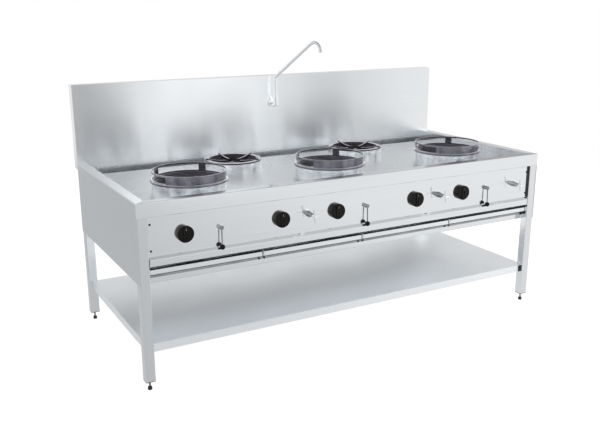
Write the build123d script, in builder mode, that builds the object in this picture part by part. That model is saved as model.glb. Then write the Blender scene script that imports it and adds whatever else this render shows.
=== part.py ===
from build123d import *
import math
import os

# Stainless wok range: three wok burners at the front, two pot burners behind.
# Millimetres. +X is the cook's right, +Y goes back to the splashback, +Z is up.
# The origin lies on the floor, in the middle of the whole object's outline.

os.makedirs("parts", exist_ok=True)

# ---- overall sizes ----
range_width = 2250.0
body_depth = 965.0
rim_height = 850.0
worktop_recess = 50.0
side_depth = 361.0
splash_thickness = 55.0
splash_overlap = 33.0  # below the rim, behind the casing
splash_stand = 397.0  # above the rim
tap_reach = 50.0  # how far the tap handles stand in front of the legs

# ---- sheet and clearances ----
sheet = 1.5
bend_radius = 2.5  # of a fold's mid-line
sliding_gap = 0.3
running_fit = 0.05  # radial, a knob or lever on its spindle
pipe_hole_gap = 1.5  # radial, a pipe through a sheet

# ---- legs and feet ----
leg_size = 45.0
leg_corner = 4.0
leg_bottom = 46.0
foot_radius = 10.0
foot_height = 16.0
stem_radius = 4.5
stem_length = 76.0
insert_flange = 3.0
insert_depth = 34.0

# ---- rim, gutter, strainer, drain ----
apron_height = 65.0
apron_return = 10.0
side_return = 24.0
gutter_width = 78.0
gutter_depth = 58.0
worktop_turn_down = 16.0
strainer_inset = 47.0  # from the gutter's left end
strainer_length = 127.0
strainer_depth = 40.0
strainer_handle_rise = 34.0  # above the worktop
strainer_bar = 11.0
drain_radius = 25.0
drain_drop = 52.0  # from the gutter's floor to the outlet's axis
drain_bend = 46.0
drain_end_gap = 8.0  # short of the wall

# ---- burners ----
station_margin = 363.0  # from the range's ends to the outer woks
wok_setback = 328.0
pot_to_gutter = 207.0
collar_height = 48.0
wok_collar_radius = 173.5
pot_collar_radius = 151.0
collar_lip = 14.0
ring_flange_radius = 181.0
ring_flange_height = 11.0
ring_band_radius = 174.0
ring_wall = 3.5
ring_height = 51.0
window_height = 30.0
window_sill = 2.0
window_half_width = 36.5  # degrees
side_window_middle = 85.0  # degrees round from the back
shield_seam = 1.2
support_fins = 5
support_turn = 25.0  # degrees, the first fin round from +X
support_ring_height = 6.0
support_ring_step = 12.0  # inside the collar's opening
fin_thickness = 8.0
fin_inner_radius = 40.0
fin_foot_depth = 14.0
horn_height = 8.0  # above the support's ring, at the rim
fin_dip = 8.0  # below the ring's top, at the middle
horn_width = 9.0
fin_sag = 4.0  # of the fin's hollow top edge
wok_head_radius = 80.0
wok_head_drop = 84.0  # all drops of the burners are from the worktop
pot_head_radius = 50.0
pot_head_rise = 18.0
bowl_clearance = 4.0
bowl_flange = 12.0
bowl_step = 3.0
flame_ports = 10
flame_port_radius = 4.0
flame_port_depth = 14.0
wok_bowl_drop = 100.0
pot_bowl_drop = 65.0
burner_foot_radius = 31.0
burner_foot_height = 6.0
burner_foot_taper = 6.0
burner_stem_radius = 21.0
mixing_tube_radius = 19.0
mixing_tube_wall = 3.0
mixing_tube_drop = 142.0
burner_rail_drop = 168.0
burner_rail_height = 20.0
burner_rail_width = 40.0

# ---- front panel ----
panel_setback = 14.0
panel_end_gap = 3.0
panel_return = 18.0
panel_overlap = 12.0  # behind the apron
panel_face_height = 174.0  # from the apron to the lip
panel_lip_height = 13.0
panel_foot_height = 29.0
panel_lip_reach = 11.0
screw_inset = 60.0  # from the range's end
screw_drops = (34.0, 150.0)  # from the apron
screw_head_radius = 5.0
screw_head_height = 2.5
screw_shank_radius = 2.0
screw_length = 8.0

# ---- controls: sideways from their own burner, and down from the apron ----
wok_knob_offset = -152.0
pot_knob_offset = -66.5
lever_offset = 14.0
pot_tap_offset = 78.5
end_tap_offset = 207.0  # from the right-hand wok
knob_drop = 92.0
lever_drop = 87.0
tap_drop = 87.0
knob_radius = 37.5
knob_disc = 12.0
knob_depth = 28.0
knob_rim_chamfer = 3.0
knob_cap = 8.0  # in front of the spindle's socket
grip_width = 17.0
grip_inset = 3.5
grip_rounding = 2.5
lever_hub_radius = 10.0
lever_hub_depth = 20.0
lever_length = 87.0
lever_rod_radius = 2.75
ball_radius = 12.5
ball_stand_off = 20.0
tap_bell_radius = 15.0
tap_neck_radius = 7.0
tap_neck_length = 8.0
tap_rim = 5.0  # the bell's straight edge at the panel
cross_span = 66.0
cross_hub_radius = 9.0
cross_hub_depth = 16.0
cross_arm_radius = 4.0
cross_socket = 12.0
cross_turn = 8.0  # degrees anticlockwise seen from the front
spindle_radius = 4.0
panel_hole_radius = 6.0

# ---- drip trays ----
tray_count = 4
tray_drop = 39.0  # from the panel to the trays' bottom
tray_height = 26.0
tray_depth = 650.0
tray_side_gap = 2.25
tray_corner = 6.0
tray_sheet = 1.2
divider_rise = 32.0  # above the trays' bottom
runner_width = 24.0
runner_shortfall = 30.0  # against the trays
rail_setback = 45.0
rail_drop = 7.0  # below the trays
rail_height = 42.0
rail_return = 25.0

# ---- undershelf ----
shelf_inset = 20.0
shelf_top = 213.0
shelf_skirt = 39.0

# ---- pipes ----
gas_pipe_radius = 13.5
gas_pipe_setback = 80.0
gas_supply_inset = 85.0  # from the range's right end
pipe_stand_off = 4.0  # of the fittings behind the rear panel
pipe_overrun = 35.0  # past the last branch
pipe_cap_rim = 2.0
pipe_cap = 4.0
pipe_wall = 2.5
pipe_bend = 40.0
gas_stub_radius = 13.2
stub_length = 25.0
fitting_length = 18.0
fitting_rim = 5.0
water_pipe_radius = 9.0
water_pipe_setback = 58.0
water_pipe_rise = 27.0  # above the taps
water_pipe_wall = 1.5
water_supply_inset = 80.0  # from the range's left end
water_stub_radius = 10.4
feed_pipe_radius = 6.0
feed_pipe_drop = 48.0  # below the gas pipe
feed_pipe_bend = 14.0
injector_gap = 18.0
injector_length = 14.0
injector_rim = 3.0
valve_radius = 16.0

# ---- wall faucet ----
faucet_drop = 152.0  # from the splashback's top
faucet_flange_radius = 24.0
faucet_flange_thickness = 7.0
faucet_arm_radius = 9.0
riser_offset = 40.0  # in front of the splashback
barrel_radius = 13.0
barrel_drop = 17.0  # from the faucet's arm
barrel_rise = 21.0
barrel_rounding = 6.0
spout_socket = 14.0
faucet_inlet_drop = 40.0  # below the splashback
nut_radius = 14.5
nut_height = 13.0
spout_radius = 7.5
riser_rise = 124.0  # above the barrel
spout_angle = -75.0  # degrees round from +X, seen from above
spout_rise_reach = 291.0
spout_rise = 195.0
spout_crown_reach = 336.0
spout_crown = 202.0
spout_tip_reach = 362.0
spout_tip = 150.0

# ---- splashback posts ----
post_width = 60.0
post_return = 18.0
post_drop = 257.0  # below the splashback
post_top_gap = 20.0
post_inset = 295.0  # clear of the drain and the gas supply
middle_post_offset = 240.0  # clear of the faucet's pipe

# ---- places worked out from the sizes ----
overall_depth = tap_reach + body_depth + splash_thickness
front = tap_reach - overall_depth / 2
back = front + body_depth
splash_back = back + splash_thickness
half_width = range_width / 2
rim_width = leg_size + 2 * sheet
worktop_level = rim_height - worktop_recess
worktop_rear = back - gutter_width
side_bottom = rim_height - side_depth
splash_bottom = rim_height - splash_overlap
splash_top = rim_height + splash_stand
gutter_floor = worktop_level - gutter_depth
strainer_handle_top = worktop_level + strainer_handle_rise
inner_half_width = half_width - rim_width
leg_x = half_width - sheet - leg_size / 2
leg_front = front + sheet + leg_size / 2
leg_rear = back - leg_size / 2
leg_inner_x = leg_x - leg_size / 2
body_middle = (leg_front + leg_rear) / 2
panel_face = front + panel_setback
collar_top = worktop_level + collar_height
ring_top = collar_top + ring_height
wok_y = front + wok_setback
pot_y = worktop_rear - pot_to_gutter
wok_head_top = worktop_level - wok_head_drop
pot_head_top = worktop_level + pot_head_rise
wok_bowl_floor = worktop_level - wok_bowl_drop
pot_bowl_floor = worktop_level - pot_bowl_drop
mixing_tube_height = worktop_level - mixing_tube_drop
burner_rail_top = worktop_level - burner_rail_drop
wok_pitch = half_width - station_margin
wok_places = {"left": -wok_pitch, "middle": 0.0, "right": wok_pitch}
pot_places = {"pot_left": -wok_pitch / 2, "pot_right": wok_pitch / 2}
wok_points = [(x, wok_y) for x in wok_places.values()]
pot_points = [(x, pot_y) for x in pot_places.values()]
burner_places = wok_places | pot_places
knob_places = {key: x + wok_knob_offset for key, x in wok_places.items()}
knob_places |= {key: x + pot_knob_offset for key, x in pot_places.items()}
lever_places = {key: x + lever_offset for key, x in wok_places.items()}
tap_places = {
    "left": pot_places["pot_left"] + pot_tap_offset,
    "middle": pot_places["pot_right"] + pot_tap_offset,
    "right": wok_places["right"] + end_tap_offset,
}
apron_bottom = rim_height - apron_height
knob_height = apron_bottom - knob_drop
lever_height = apron_bottom - lever_drop
tap_height = apron_bottom - tap_drop
screw_heights = [apron_bottom - drop for drop in screw_drops]
panel_lip_top = apron_bottom - panel_face_height
panel_lip_bottom = panel_lip_top - panel_lip_height
panel_bottom = panel_lip_bottom - panel_foot_height
tray_bottom = panel_bottom - tray_drop
divider_top = tray_bottom + divider_rise
rail_top = tray_bottom - rail_drop
rail_bottom = rail_top - rail_height
gas_height = knob_height
feed_pipe_height = gas_height - feed_pipe_drop
gas_pipe_x = half_width - gas_supply_inset
water_pipe_height = tap_height + water_pipe_rise
water_pipe_x = water_supply_inset - half_width
tray_pitch = 2 * (leg_inner_x + sheet) / tray_count
rear_rail_y = front + panel_setback + tray_depth
gas_y = front + gas_pipe_setback
water_y = front + water_pipe_setback
riser_y = back - riser_offset
faucet_height = splash_top - faucet_drop
barrel_bottom = faucet_height - barrel_drop
barrel_top = faucet_height + barrel_rise
riser_top = barrel_top + riser_rise
post_bottom = splash_bottom - post_drop


def save(builder, name):
    builder.part.label = name
    export_step(builder.part, f"parts/{name}.step")


def facing_front(x, y, z):
    """A plane at a point, with its normal towards the cook and its own Y upwards."""
    return Plane(origin=(x, y, z), x_dir=(1, 0, 0), z_dir=(0, -1, 0))


def folded_sheet(plane, points, length, both=False, thickness=sheet):
    """A sheet folded along mid-line points drawn on a plane and run for a length."""
    with BuildPart() as folded:
        with BuildSketch(plane):
            with BuildLine():
                FilletPolyline(*points, radius=bend_radius)
            trace(line_width=thickness)
        extrude(amount=length, both=both)
    return folded.part


def bent_rod(points, radius, bend):
    """A round bar along straight runs joined by bends."""
    with BuildPart() as bent:
        with BuildLine() as route:
            FilletPolyline(*points, radius=bend)
        with BuildSketch(Plane(origin=route.line @ 0, z_dir=route.line % 0)):
            Circle(radius)
        sweep()
    return bent.part


def pipe(points, radius, bend, wall):
    """A bent pipe along straight runs, with its bore open at both ends."""
    return bent_rod(points, radius, bend) - bent_rod(points, radius - wall, bend)


def supply_stub(x, z, pipe_radius, stub_radius, bore_radius):
    """A hexagonal fitting and a threaded stub, for a supply behind the casing."""
    fitting_start = back + pipe_stand_off
    with BuildPart() as stub:
        with BuildSketch(Plane.XZ.offset(-fitting_start)):
            with Locations((x, z)):
                RegularPolygon(pipe_radius + fitting_rim, 6)
                Circle(bore_radius, mode=Mode.SUBTRACT)
        extrude(amount=-fitting_length)
        with BuildSketch(Plane.XZ.offset(-fitting_start - fitting_length)):
            with Locations((x, z)):
                Circle(stub_radius)
                Circle(bore_radius, mode=Mode.SUBTRACT)
        extrude(amount=-stub_length)
    return stub.part


# ================= frame =================

with BuildPart() as legs:
    with BuildSketch(Plane.XY.offset(leg_bottom)):
        with Locations((0, body_middle)):
            with GridLocations(2 * leg_x, leg_rear - leg_front, 2, 2):
                RectangleRounded(leg_size, leg_size, leg_corner)
                inner_size = leg_size - 2 * sheet
                RectangleRounded(inner_size, inner_size, leg_corner - sheet, mode=Mode.SUBTRACT)
    extrude(amount=rim_height - sheet - bend_radius - leg_bottom)
save(legs, "legs")

# Black inserts plug the legs and carry the feet's threaded stems.
insert_size = leg_size - 2 * sheet
with BuildPart() as leg_inserts:
    with BuildSketch(Plane.XY.offset(leg_bottom)):
        with Locations((0, body_middle)):
            with GridLocations(2 * leg_x, leg_rear - leg_front, 2, 2):
                RectangleRounded(insert_size, insert_size, leg_corner - sheet)
    extrude(amount=insert_depth)
    with BuildSketch(Plane.XY.offset(leg_bottom - insert_flange)):
        with Locations((0, body_middle)):
            with GridLocations(2 * leg_x, leg_rear - leg_front, 2, 2):
                RectangleRounded(leg_size, leg_size, leg_corner)
    extrude(amount=insert_flange)
    with BuildSketch(Plane.XY.offset(leg_bottom - insert_flange)):
        with Locations((0, body_middle)):
            with GridLocations(2 * leg_x, leg_rear - leg_front, 2, 2):
                Circle(stem_radius + running_fit)
    extrude(amount=insert_flange + insert_depth, mode=Mode.SUBTRACT)
save(leg_inserts, "leg_inserts")

foot_points = {
    "foot_front_left": (-leg_x, leg_front),
    "foot_front_right": (leg_x, leg_front),
    "foot_rear_left": (-leg_x, leg_rear),
    "foot_rear_right": (leg_x, leg_rear),
}
for name, (x, y) in foot_points.items():
    with BuildPart(Plane(origin=(x, y, 0))) as foot:
        Cylinder(foot_radius, foot_height, align=(Align.CENTER, Align.CENTER, Align.MIN))
        fillet(foot.edges().filter_by(GeomType.CIRCLE).group_by(Axis.Z)[-1], radius=foot_height / 4)
        with Locations((0, 0, foot_height)):
            Cylinder(stem_radius, stem_length - foot_height,
                     align=(Align.CENTER, Align.CENTER, Align.MIN))
    save(foot, name)

# ================= casing =================

half_sheet = sheet / 2
rim_inner = rim_width - half_sheet
inner_wall_bottom = worktop_level - sheet
front_rim_line = [
    (front + rim_inner, inner_wall_bottom),
    (front + rim_inner, rim_height - half_sheet),
    (front + half_sheet, rim_height - half_sheet),
    (front + half_sheet, apron_bottom + half_sheet),
    (front + apron_return, apron_bottom + half_sheet),
]
right_mitre = Plane(origin=(half_width, front, 0), z_dir=(1, 1, 0))
left_mitre = Plane(origin=(-half_width, front, 0), z_dir=(-1, 1, 0))

# Worktop rim and apron at the front, mitred at both corners.
with BuildPart() as front_rim:
    add(folded_sheet(Plane.YZ, front_rim_line, half_width, both=True))
    split(bisect_by=right_mitre, keep=Keep.BOTTOM)
    split(bisect_by=left_mitre, keep=Keep.BOTTOM)
    # The apron's return is notched round both front legs.
    with BuildSketch(Plane.XY.offset(apron_bottom)):
        with Locations((-leg_x, leg_front), (leg_x, leg_front)):
            Rectangle(leg_size, leg_size)
    extrude(amount=leg_corner, mode=Mode.SUBTRACT)
save(front_rim, "front_rim")

# Each side is one sheet: inner wall, flat rim, deep outer side and a bottom return.
for name, side, mitre in (("side_panel_left", -1, left_mitre), ("side_panel_right", 1, right_mitre)):
    side_line = [
        (side * (half_width - rim_inner), inner_wall_bottom),
        (side * (half_width - rim_inner), rim_height - half_sheet),
        (side * (half_width - half_sheet), rim_height - half_sheet),
        (side * (half_width - half_sheet), side_bottom + half_sheet),
        (side * (half_width - side_return), side_bottom + half_sheet),
    ]
    with BuildPart() as side_panel:
        add(folded_sheet(Plane.XZ.offset(-back), side_line, body_depth))
        split(bisect_by=mitre, keep=Keep.TOP)
        # The bottom return is notched round both legs.
        with BuildSketch(Plane.XY.offset(side_bottom)):
            with Locations((side * leg_x, leg_front), (side * leg_x, leg_rear)):
                Rectangle(leg_size, leg_size)
        extrude(amount=leg_size, mode=Mode.SUBTRACT)
    save(side_panel, name)

worktop_line = [
    (front + rim_width, worktop_level - half_sheet),
    (worktop_rear - half_sheet, worktop_level - half_sheet),
    (worktop_rear - half_sheet, worktop_level - worktop_turn_down),
]
wok_hole_radius = wok_collar_radius - collar_lip
pot_hole_radius = pot_collar_radius - collar_lip
with BuildPart() as worktop:
    add(folded_sheet(Plane.YZ, worktop_line, inner_half_width, both=True))
    with BuildSketch(Plane.XY.offset(worktop_level)):
        with Locations(*wok_points):
            Circle(wok_hole_radius)
        with Locations(*pot_points):
            Circle(pot_hole_radius)
    extrude(amount=-sheet, mode=Mode.SUBTRACT)
save(worktop, "worktop")

# Gutter across the back of the worktop, with its drain hole below the strainer.
strainer_middle = strainer_inset + strainer_length / 2 - inner_half_width
gutter_middle = worktop_rear + gutter_width / 2
with BuildPart(Plane.XY.offset(gutter_floor)) as gutter:
    with Locations((0, gutter_middle, 0)):
        Box(2 * inner_half_width, gutter_width, splash_bottom - gutter_floor,
            align=(Align.CENTER, Align.CENTER, Align.MIN))
    offset(amount=-sheet, openings=gutter.faces().sort_by(Axis.Z)[-1])
    # Front and end walls stop under the worktop; the rear wall runs up to the splashback.
    with BuildSketch(Plane.XY.offset(worktop_level - 2 * sheet)):
        with Locations((0, gutter_middle - sheet)):
            Rectangle(range_width, gutter_width)
    extrude(amount=splash_bottom, mode=Mode.SUBTRACT)
    with BuildSketch(Plane.XY.offset(gutter_floor)):
        with Locations((strainer_middle, gutter_middle)):
            Circle(drain_radius - sheet)
    extrude(amount=sheet, mode=Mode.SUBTRACT)
save(gutter, "gutter")

# The drain turns to the rear under the gutter and ends just short of the wall.
drain_height = gutter_floor - drain_drop
drain_points = [
    (strainer_middle, gutter_middle, gutter_floor),
    (strainer_middle, gutter_middle, drain_height),
    (strainer_middle, splash_back - drain_end_gap, drain_height),
]
drain_pipe = pipe(drain_points, drain_radius, drain_bend, sheet)
with BuildPart() as drain_outlet:
    add(drain_pipe)
    with BuildSketch(Plane.XY.offset(gutter_floor)):
        with Locations((strainer_middle, gutter_middle)):
            Circle(drain_radius + fitting_rim)
            Circle(drain_radius - sheet, mode=Mode.SUBTRACT)
    extrude(amount=-2 * sheet)
save(drain_outlet, "drain_outlet")

# Lift-out strainer: a slotted sheet basket with a loop handle that shows above the worktop.
basket_width = gutter_width - 2 * sheet - 2 * sliding_gap
basket_floor = gutter_floor + sheet + sliding_gap
with BuildPart(Plane.XY.offset(basket_floor)) as strainer:
    with Locations((strainer_middle, gutter_middle, 0)):
        Box(strainer_length, basket_width, strainer_depth,
            align=(Align.CENTER, Align.CENTER, Align.MIN))
    offset(amount=-sheet, openings=strainer.faces().sort_by(Axis.Z)[-1])
    with BuildSketch(Plane.XY.offset(basket_floor)):
        with Locations((strainer_middle, gutter_middle)):
            with GridLocations(0, basket_width / 5, 1, 4):
                SlotOverall(strainer_length * 0.7, basket_width / 12)
    extrude(amount=sheet, mode=Mode.SUBTRACT)
    with BuildSketch(facing_front(strainer_middle, back - sheet - sliding_gap, 0)):
        handle_bottom = basket_floor + strainer_depth / 2
        handle_rise = strainer_handle_top - handle_bottom
        with Locations((0, handle_bottom + handle_rise / 2)):
            Rectangle(strainer_length, handle_rise)
        window_rise = strainer_handle_top - strainer_bar - basket_floor - strainer_depth
        with Locations((0, basket_floor + strainer_depth + window_rise / 2)):
            Rectangle(strainer_length - 2 * strainer_bar, window_rise, mode=Mode.SUBTRACT)
    extrude(amount=sheet)
save(strainer, "strainer_basket")

# Rear closing sheet, with holes for the two supply pipes and the drain.
rear_holes = [
    (gas_pipe_x, gas_height, gas_pipe_radius),
    (water_pipe_x, water_pipe_height, water_pipe_radius),
    (strainer_middle, drain_height, drain_radius),
]
with BuildPart() as rear_panel:
    with BuildSketch(Plane.XZ.offset(-back)):
        with Locations((0, (side_bottom + splash_bottom) / 2)):
            Rectangle(range_width, splash_bottom - side_bottom)
        for x, z, pipe_radius in rear_holes:
            with Locations((x, z)):
                Circle(pipe_radius + pipe_hole_gap, mode=Mode.SUBTRACT)
    extrude(amount=-sheet)
save(rear_panel, "rear_panel")

# Splashback: a deep sheet pan standing behind the worktop, open at the back and below.
splash_rise = splash_top - splash_bottom
with BuildPart(Plane.XY.offset(splash_bottom)) as splashback:
    with Locations((0, back + splash_thickness / 2, 0)):
        Box(range_width, splash_thickness, splash_rise, align=(Align.CENTER, Align.CENTER, Align.MIN))
    fillet(splashback.edges().filter_by(Axis.Z).group_by(Axis.Y)[0], radius=bend_radius)
    rear_and_bottom = [splashback.faces().sort_by(Axis.Y)[-1], splashback.faces().sort_by(Axis.Z)[0]]
    offset(amount=-sheet, openings=rear_and_bottom)
    with BuildSketch(facing_front(0, back + sheet, faucet_height)):
        Circle(faucet_arm_radius + pipe_hole_gap)
    extrude(amount=sheet, mode=Mode.SUBTRACT)
save(splashback, "splashback")

with BuildPart() as splashback_cover:
    with BuildSketch(Plane.XZ.offset(-splash_back)):
        with Locations((0, (splash_bottom + splash_top - sheet) / 2)):
            Rectangle(range_width - 2 * sheet, splash_rise - sheet)
    extrude(amount=sheet)
save(splashback_cover, "splashback_cover")

# Three folded posts bolt the splashback to the back of the casing.
post_line = [
    (-post_width / 2 - post_return, back + sheet + half_sheet),
    (-post_width / 2, back + sheet + half_sheet),
    (-post_width / 2, splash_back - sheet - half_sheet),
    (post_width / 2, splash_back - sheet - half_sheet),
    (post_width / 2, back + sheet + half_sheet),
    (post_width / 2 + post_return, back + sheet + half_sheet),
]
post_form = folded_sheet(Plane.XY.offset(post_bottom), post_line, splash_top - post_top_gap - post_bottom)
post_x = half_width - post_inset
with BuildPart() as splashback_posts:
    with Locations((-post_x, 0), (middle_post_offset, 0), (post_x, 0)):
        add(post_form)
save(splashback_posts, "splashback_posts")

# ================= front panel and controls =================

panel_half_length = leg_inner_x - panel_end_gap
panel_line = [
    (panel_face + panel_return, apron_bottom + panel_overlap),
    (panel_face + half_sheet, apron_bottom + panel_overlap),
    (panel_face + half_sheet, panel_lip_top),
    (panel_face + half_sheet - panel_lip_reach, panel_lip_bottom),
    (panel_face + half_sheet - panel_lip_reach, panel_bottom),
    (panel_face + panel_return, panel_bottom),
]
screw_x = half_width - screw_inset
screw_points = [(side * screw_x, height) for side in (-1, 1) for height in screw_heights]
spindle_points = [(x, knob_height) for x in knob_places.values()]
spindle_points += [(x, lever_height) for x in lever_places.values()]
spindle_points += [(x, tap_height) for x in tap_places.values()]
with BuildPart() as control_panel:
    add(folded_sheet(Plane.YZ, panel_line, panel_half_length, both=True))
    with BuildSketch(facing_front(0, panel_face + sheet, 0)):
        with Locations(*spindle_points):
            Circle(panel_hole_radius)
        with Locations(*screw_points):
            Circle(screw_shank_radius + sliding_gap)
    extrude(amount=sheet, mode=Mode.SUBTRACT)
save(control_panel, "control_panel")

with BuildPart() as panel_screws:
    with BuildSketch(facing_front(0, panel_face, 0)):
        with Locations(*screw_points):
            Circle(screw_head_radius)
    extrude(amount=screw_head_height)
    chamfer(panel_screws.edges().group_by(Axis.Y)[0], length=screw_head_height / 3)
    with BuildSketch(facing_front(0, panel_face, 0)):
        with Locations(*screw_points):
            Circle(screw_shank_radius)
    extrude(amount=-screw_length)
save(panel_screws, "panel_screws")

# Knobs: a round skirt with an upright grip bar, turning on the valve's spindle.
hub_face = panel_face - sliding_gap
spindle_socket = knob_depth - knob_cap
for key, x in knob_places.items():
    with BuildPart(facing_front(x, hub_face, knob_height)) as knob:
        Cylinder(knob_radius, knob_disc, align=(Align.CENTER, Align.CENTER, Align.MIN))
        chamfer(knob.edges().filter_by(GeomType.CIRCLE).group_by(Axis.Y)[0], length=knob_rim_chamfer)
        with BuildSketch(facing_front(x, hub_face, knob_height)):
            SlotOverall(2 * (knob_radius - grip_inset), grip_width, rotation=90)
        extrude(amount=knob_depth)
        fillet(knob.edges().group_by(Axis.Y)[0], radius=grip_rounding)
        with BuildSketch(facing_front(x, hub_face, knob_height)):
            Circle(spindle_radius + running_fit)
        extrude(amount=spindle_socket, mode=Mode.SUBTRACT)
    save(knob, f"knob_{key}")

# Levers: a round hub, a thin rod hanging from it and a black ball on its end.
rod_y = hub_face - lever_hub_depth * 0.8
ball_y = panel_face - ball_stand_off
ball_z = lever_height - lever_length
ball_mouth = math.sqrt(ball_radius**2 - lever_rod_radius**2)
with BuildPart() as ball_form:
    with BuildSketch(Plane.XZ):
        with BuildLine():
            ThreePointArc((0, -ball_radius), (ball_radius, 0), (lever_rod_radius, ball_mouth))
            Polyline((lever_rod_radius, ball_mouth), (lever_rod_radius, 0), (0, 0), (0, -ball_radius))
        make_face()
    revolve(axis=Axis.Z)

for key, x in lever_places.items():
    rod_line = Line((x, rod_y, lever_height - lever_hub_radius / 2), (x, ball_y, ball_z))
    with BuildPart(facing_front(x, hub_face, lever_height)) as lever:
        Cylinder(lever_hub_radius, lever_hub_depth, align=(Align.CENTER, Align.CENTER, Align.MIN))
        fillet(lever.edges().filter_by(GeomType.CIRCLE).group_by(Axis.Y)[0], radius=lever_hub_radius / 5)
        with BuildSketch(Plane(origin=rod_line @ 0, z_dir=rod_line % 0)):
            Circle(lever_rod_radius)
        extrude(amount=rod_line.length)
        with BuildSketch(facing_front(x, hub_face, lever_height)):
            Circle(spindle_radius + running_fit)
        extrude(amount=lever_hub_depth / 2, mode=Mode.SUBTRACT)
    save(lever, f"lever_{key}")

    with BuildPart() as ball:
        with Locations(Plane(origin=rod_line @ 1, x_dir=(1, 0, 0), z_dir=-(rod_line % 1)).location):
            add(ball_form.part)
    save(ball, f"lever_ball_{key}")

# Taps: a bell on the panel with the spindle in front and the shank behind.
cross_y = front - tap_reach + cross_hub_depth
bell_front = cross_y + sliding_gap
shank_radius = panel_hole_radius - sliding_gap
shank_end = water_y - water_pipe_radius / 2
with BuildPart() as tap_bodies:
    for x in tap_places.values():
        with BuildSketch(Plane(origin=(x, 0, tap_height))):
            with BuildLine():
                Polyline(
                    (0, bell_front),
                    (tap_neck_radius, bell_front),
                    (tap_neck_radius, bell_front + tap_neck_length),
                    (tap_bell_radius * 0.7, bell_front + 1.5 * tap_neck_length),
                    (tap_bell_radius, panel_face - tap_rim),
                    (tap_bell_radius, panel_face),
                    (shank_radius, panel_face),
                    (shank_radius, shank_end),
                    (0, shank_end),
                    close=True,
                )
            make_face()
        revolve(axis=Axis((x, 0, tap_height), (0, 1, 0)))
        with BuildSketch(facing_front(x, bell_front, tap_height)):
            Circle(spindle_radius)
        extrude(amount=cross_socket - running_fit)
        # A short riser joins the shank to a tee on the water pipe above it.
        with BuildSketch(Plane(origin=(x, shank_end, tap_height))):
            Circle(shank_radius)
        extrude(amount=water_pipe_rise - water_pipe_radius)
        with BuildSketch(Plane.YZ.offset(x)):
            with Locations((water_y, water_pipe_height)):
                Circle(water_pipe_radius + fitting_rim)
        extrude(amount=water_pipe_radius, both=True)
        with BuildSketch(Plane.YZ.offset(x)):
            with Locations((water_y, water_pipe_height)):
                Circle(water_pipe_radius)
        extrude(amount=2 * water_pipe_radius, both=True, mode=Mode.SUBTRACT)
save(tap_bodies, "tap_bodies")

# Cross handles: a round hub and four arms with rounded ends.
arm_reach = cross_span / 2 - cross_arm_radius
with BuildPart() as cross_form:
    Cylinder(cross_hub_radius, cross_hub_depth, align=(Align.CENTER, Align.CENTER, Align.MIN))
    fillet(cross_form.edges().filter_by(GeomType.CIRCLE).group_by(Axis.Z)[-1], radius=cross_hub_radius / 3)
    with BuildSketch(Plane.XY.offset(cross_hub_depth / 2)) as arm_outline:
        Rectangle(arm_reach, cross_arm_radius, align=(Align.MIN, Align.MIN))
        with BuildLine():
            CenterArc((arm_reach, 0), cross_arm_radius, 0, 90)
            Polyline((arm_reach, cross_arm_radius), (arm_reach, 0), (arm_reach + cross_arm_radius, 0))
        make_face()
    arm_axis = Axis((0, 0, cross_hub_depth / 2), (1, 0, 0))
    arm_form = revolve(arm_outline.sketch, axis=arm_axis, mode=Mode.PRIVATE)
    with PolarLocations(0, 4, start_angle=cross_turn):
        add(arm_form)
    with BuildSketch(Plane.XY):
        Circle(spindle_radius + running_fit)
    extrude(amount=cross_socket, mode=Mode.SUBTRACT)

for key, x in tap_places.items():
    with BuildPart() as cross_handle:
        with Locations(facing_front(x, cross_y, tap_height).location):
            add(cross_form.part)
    save(cross_handle, f"cross_handle_{key}")

# ================= drip trays and their rails =================

front_rail_line = [
    (front + rail_setback + rail_return, rail_top - half_sheet),
    (front + rail_setback + half_sheet, rail_top - half_sheet),
    (front + rail_setback + half_sheet, rail_bottom + half_sheet),
    (front + rail_setback + rail_return, rail_bottom + half_sheet),
]
rear_rail_line = [(front + rail_setback + rear_rail_y - y, z) for y, z in front_rail_line]
with BuildPart() as lower_rails:
    add(folded_sheet(Plane.YZ, front_rail_line, leg_inner_x, both=True))
    add(folded_sheet(Plane.YZ, rear_rail_line, half_width - side_return, both=True))
save(lower_rails, "lower_rails")

runner_top = tray_bottom - sliding_gap
runner_start = front + rail_setback
runner_length = tray_depth - runner_shortfall
runner_line = [
    (-runner_width / 2 + half_sheet, rail_top),
    (-runner_width / 2 + half_sheet, runner_top - half_sheet),
    (runner_width / 2 - half_sheet, runner_top - half_sheet),
    (runner_width / 2 - half_sheet, rail_top),
]
runner_form = folded_sheet(Plane.XZ.offset(-runner_start - runner_length), runner_line, runner_length)
divider_points = [(tray_pitch * (index - tray_count / 2), 0) for index in range(1, tray_count)]
outer_runner_x = leg_inner_x - runner_width / 2 - sliding_gap
with BuildPart() as tray_runners:
    with Locations(*divider_points, (-outer_runner_x, 0), (outer_runner_x, 0)):
        add(runner_form)
    # An upright divider stands between neighbouring trays.
    with BuildSketch(Plane.XZ.offset(-runner_start - runner_length)):
        with Locations(*[(x, (divider_top + runner_top) / 2 - half_sheet) for x, _ in divider_points]):
            Rectangle(sheet, divider_top - runner_top + sheet)
    extrude(amount=runner_length)
save(tray_runners, "tray_runners")

tray_names = ("drip_tray_left", "drip_tray_middle_left", "drip_tray_middle_right", "drip_tray_right")
tray_width = tray_pitch - sheet - 2 * tray_side_gap
for index, name in enumerate(tray_names):
    tray_x = tray_pitch * (index + 0.5 - tray_count / 2)
    with BuildPart(Plane(origin=(tray_x, panel_face + tray_depth / 2, tray_bottom))) as tray:
        Box(tray_width, tray_depth, tray_height, align=(Align.CENTER, Align.CENTER, Align.MIN))
        fillet(tray.edges().filter_by(Axis.Z), radius=tray_corner)
        fillet(tray.edges().group_by(Axis.Z)[0], radius=bend_radius)
        offset(amount=-tray_sheet, openings=tray.faces().sort_by(Axis.Z)[-1])
    save(tray, name)

# ================= undershelf =================

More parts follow.
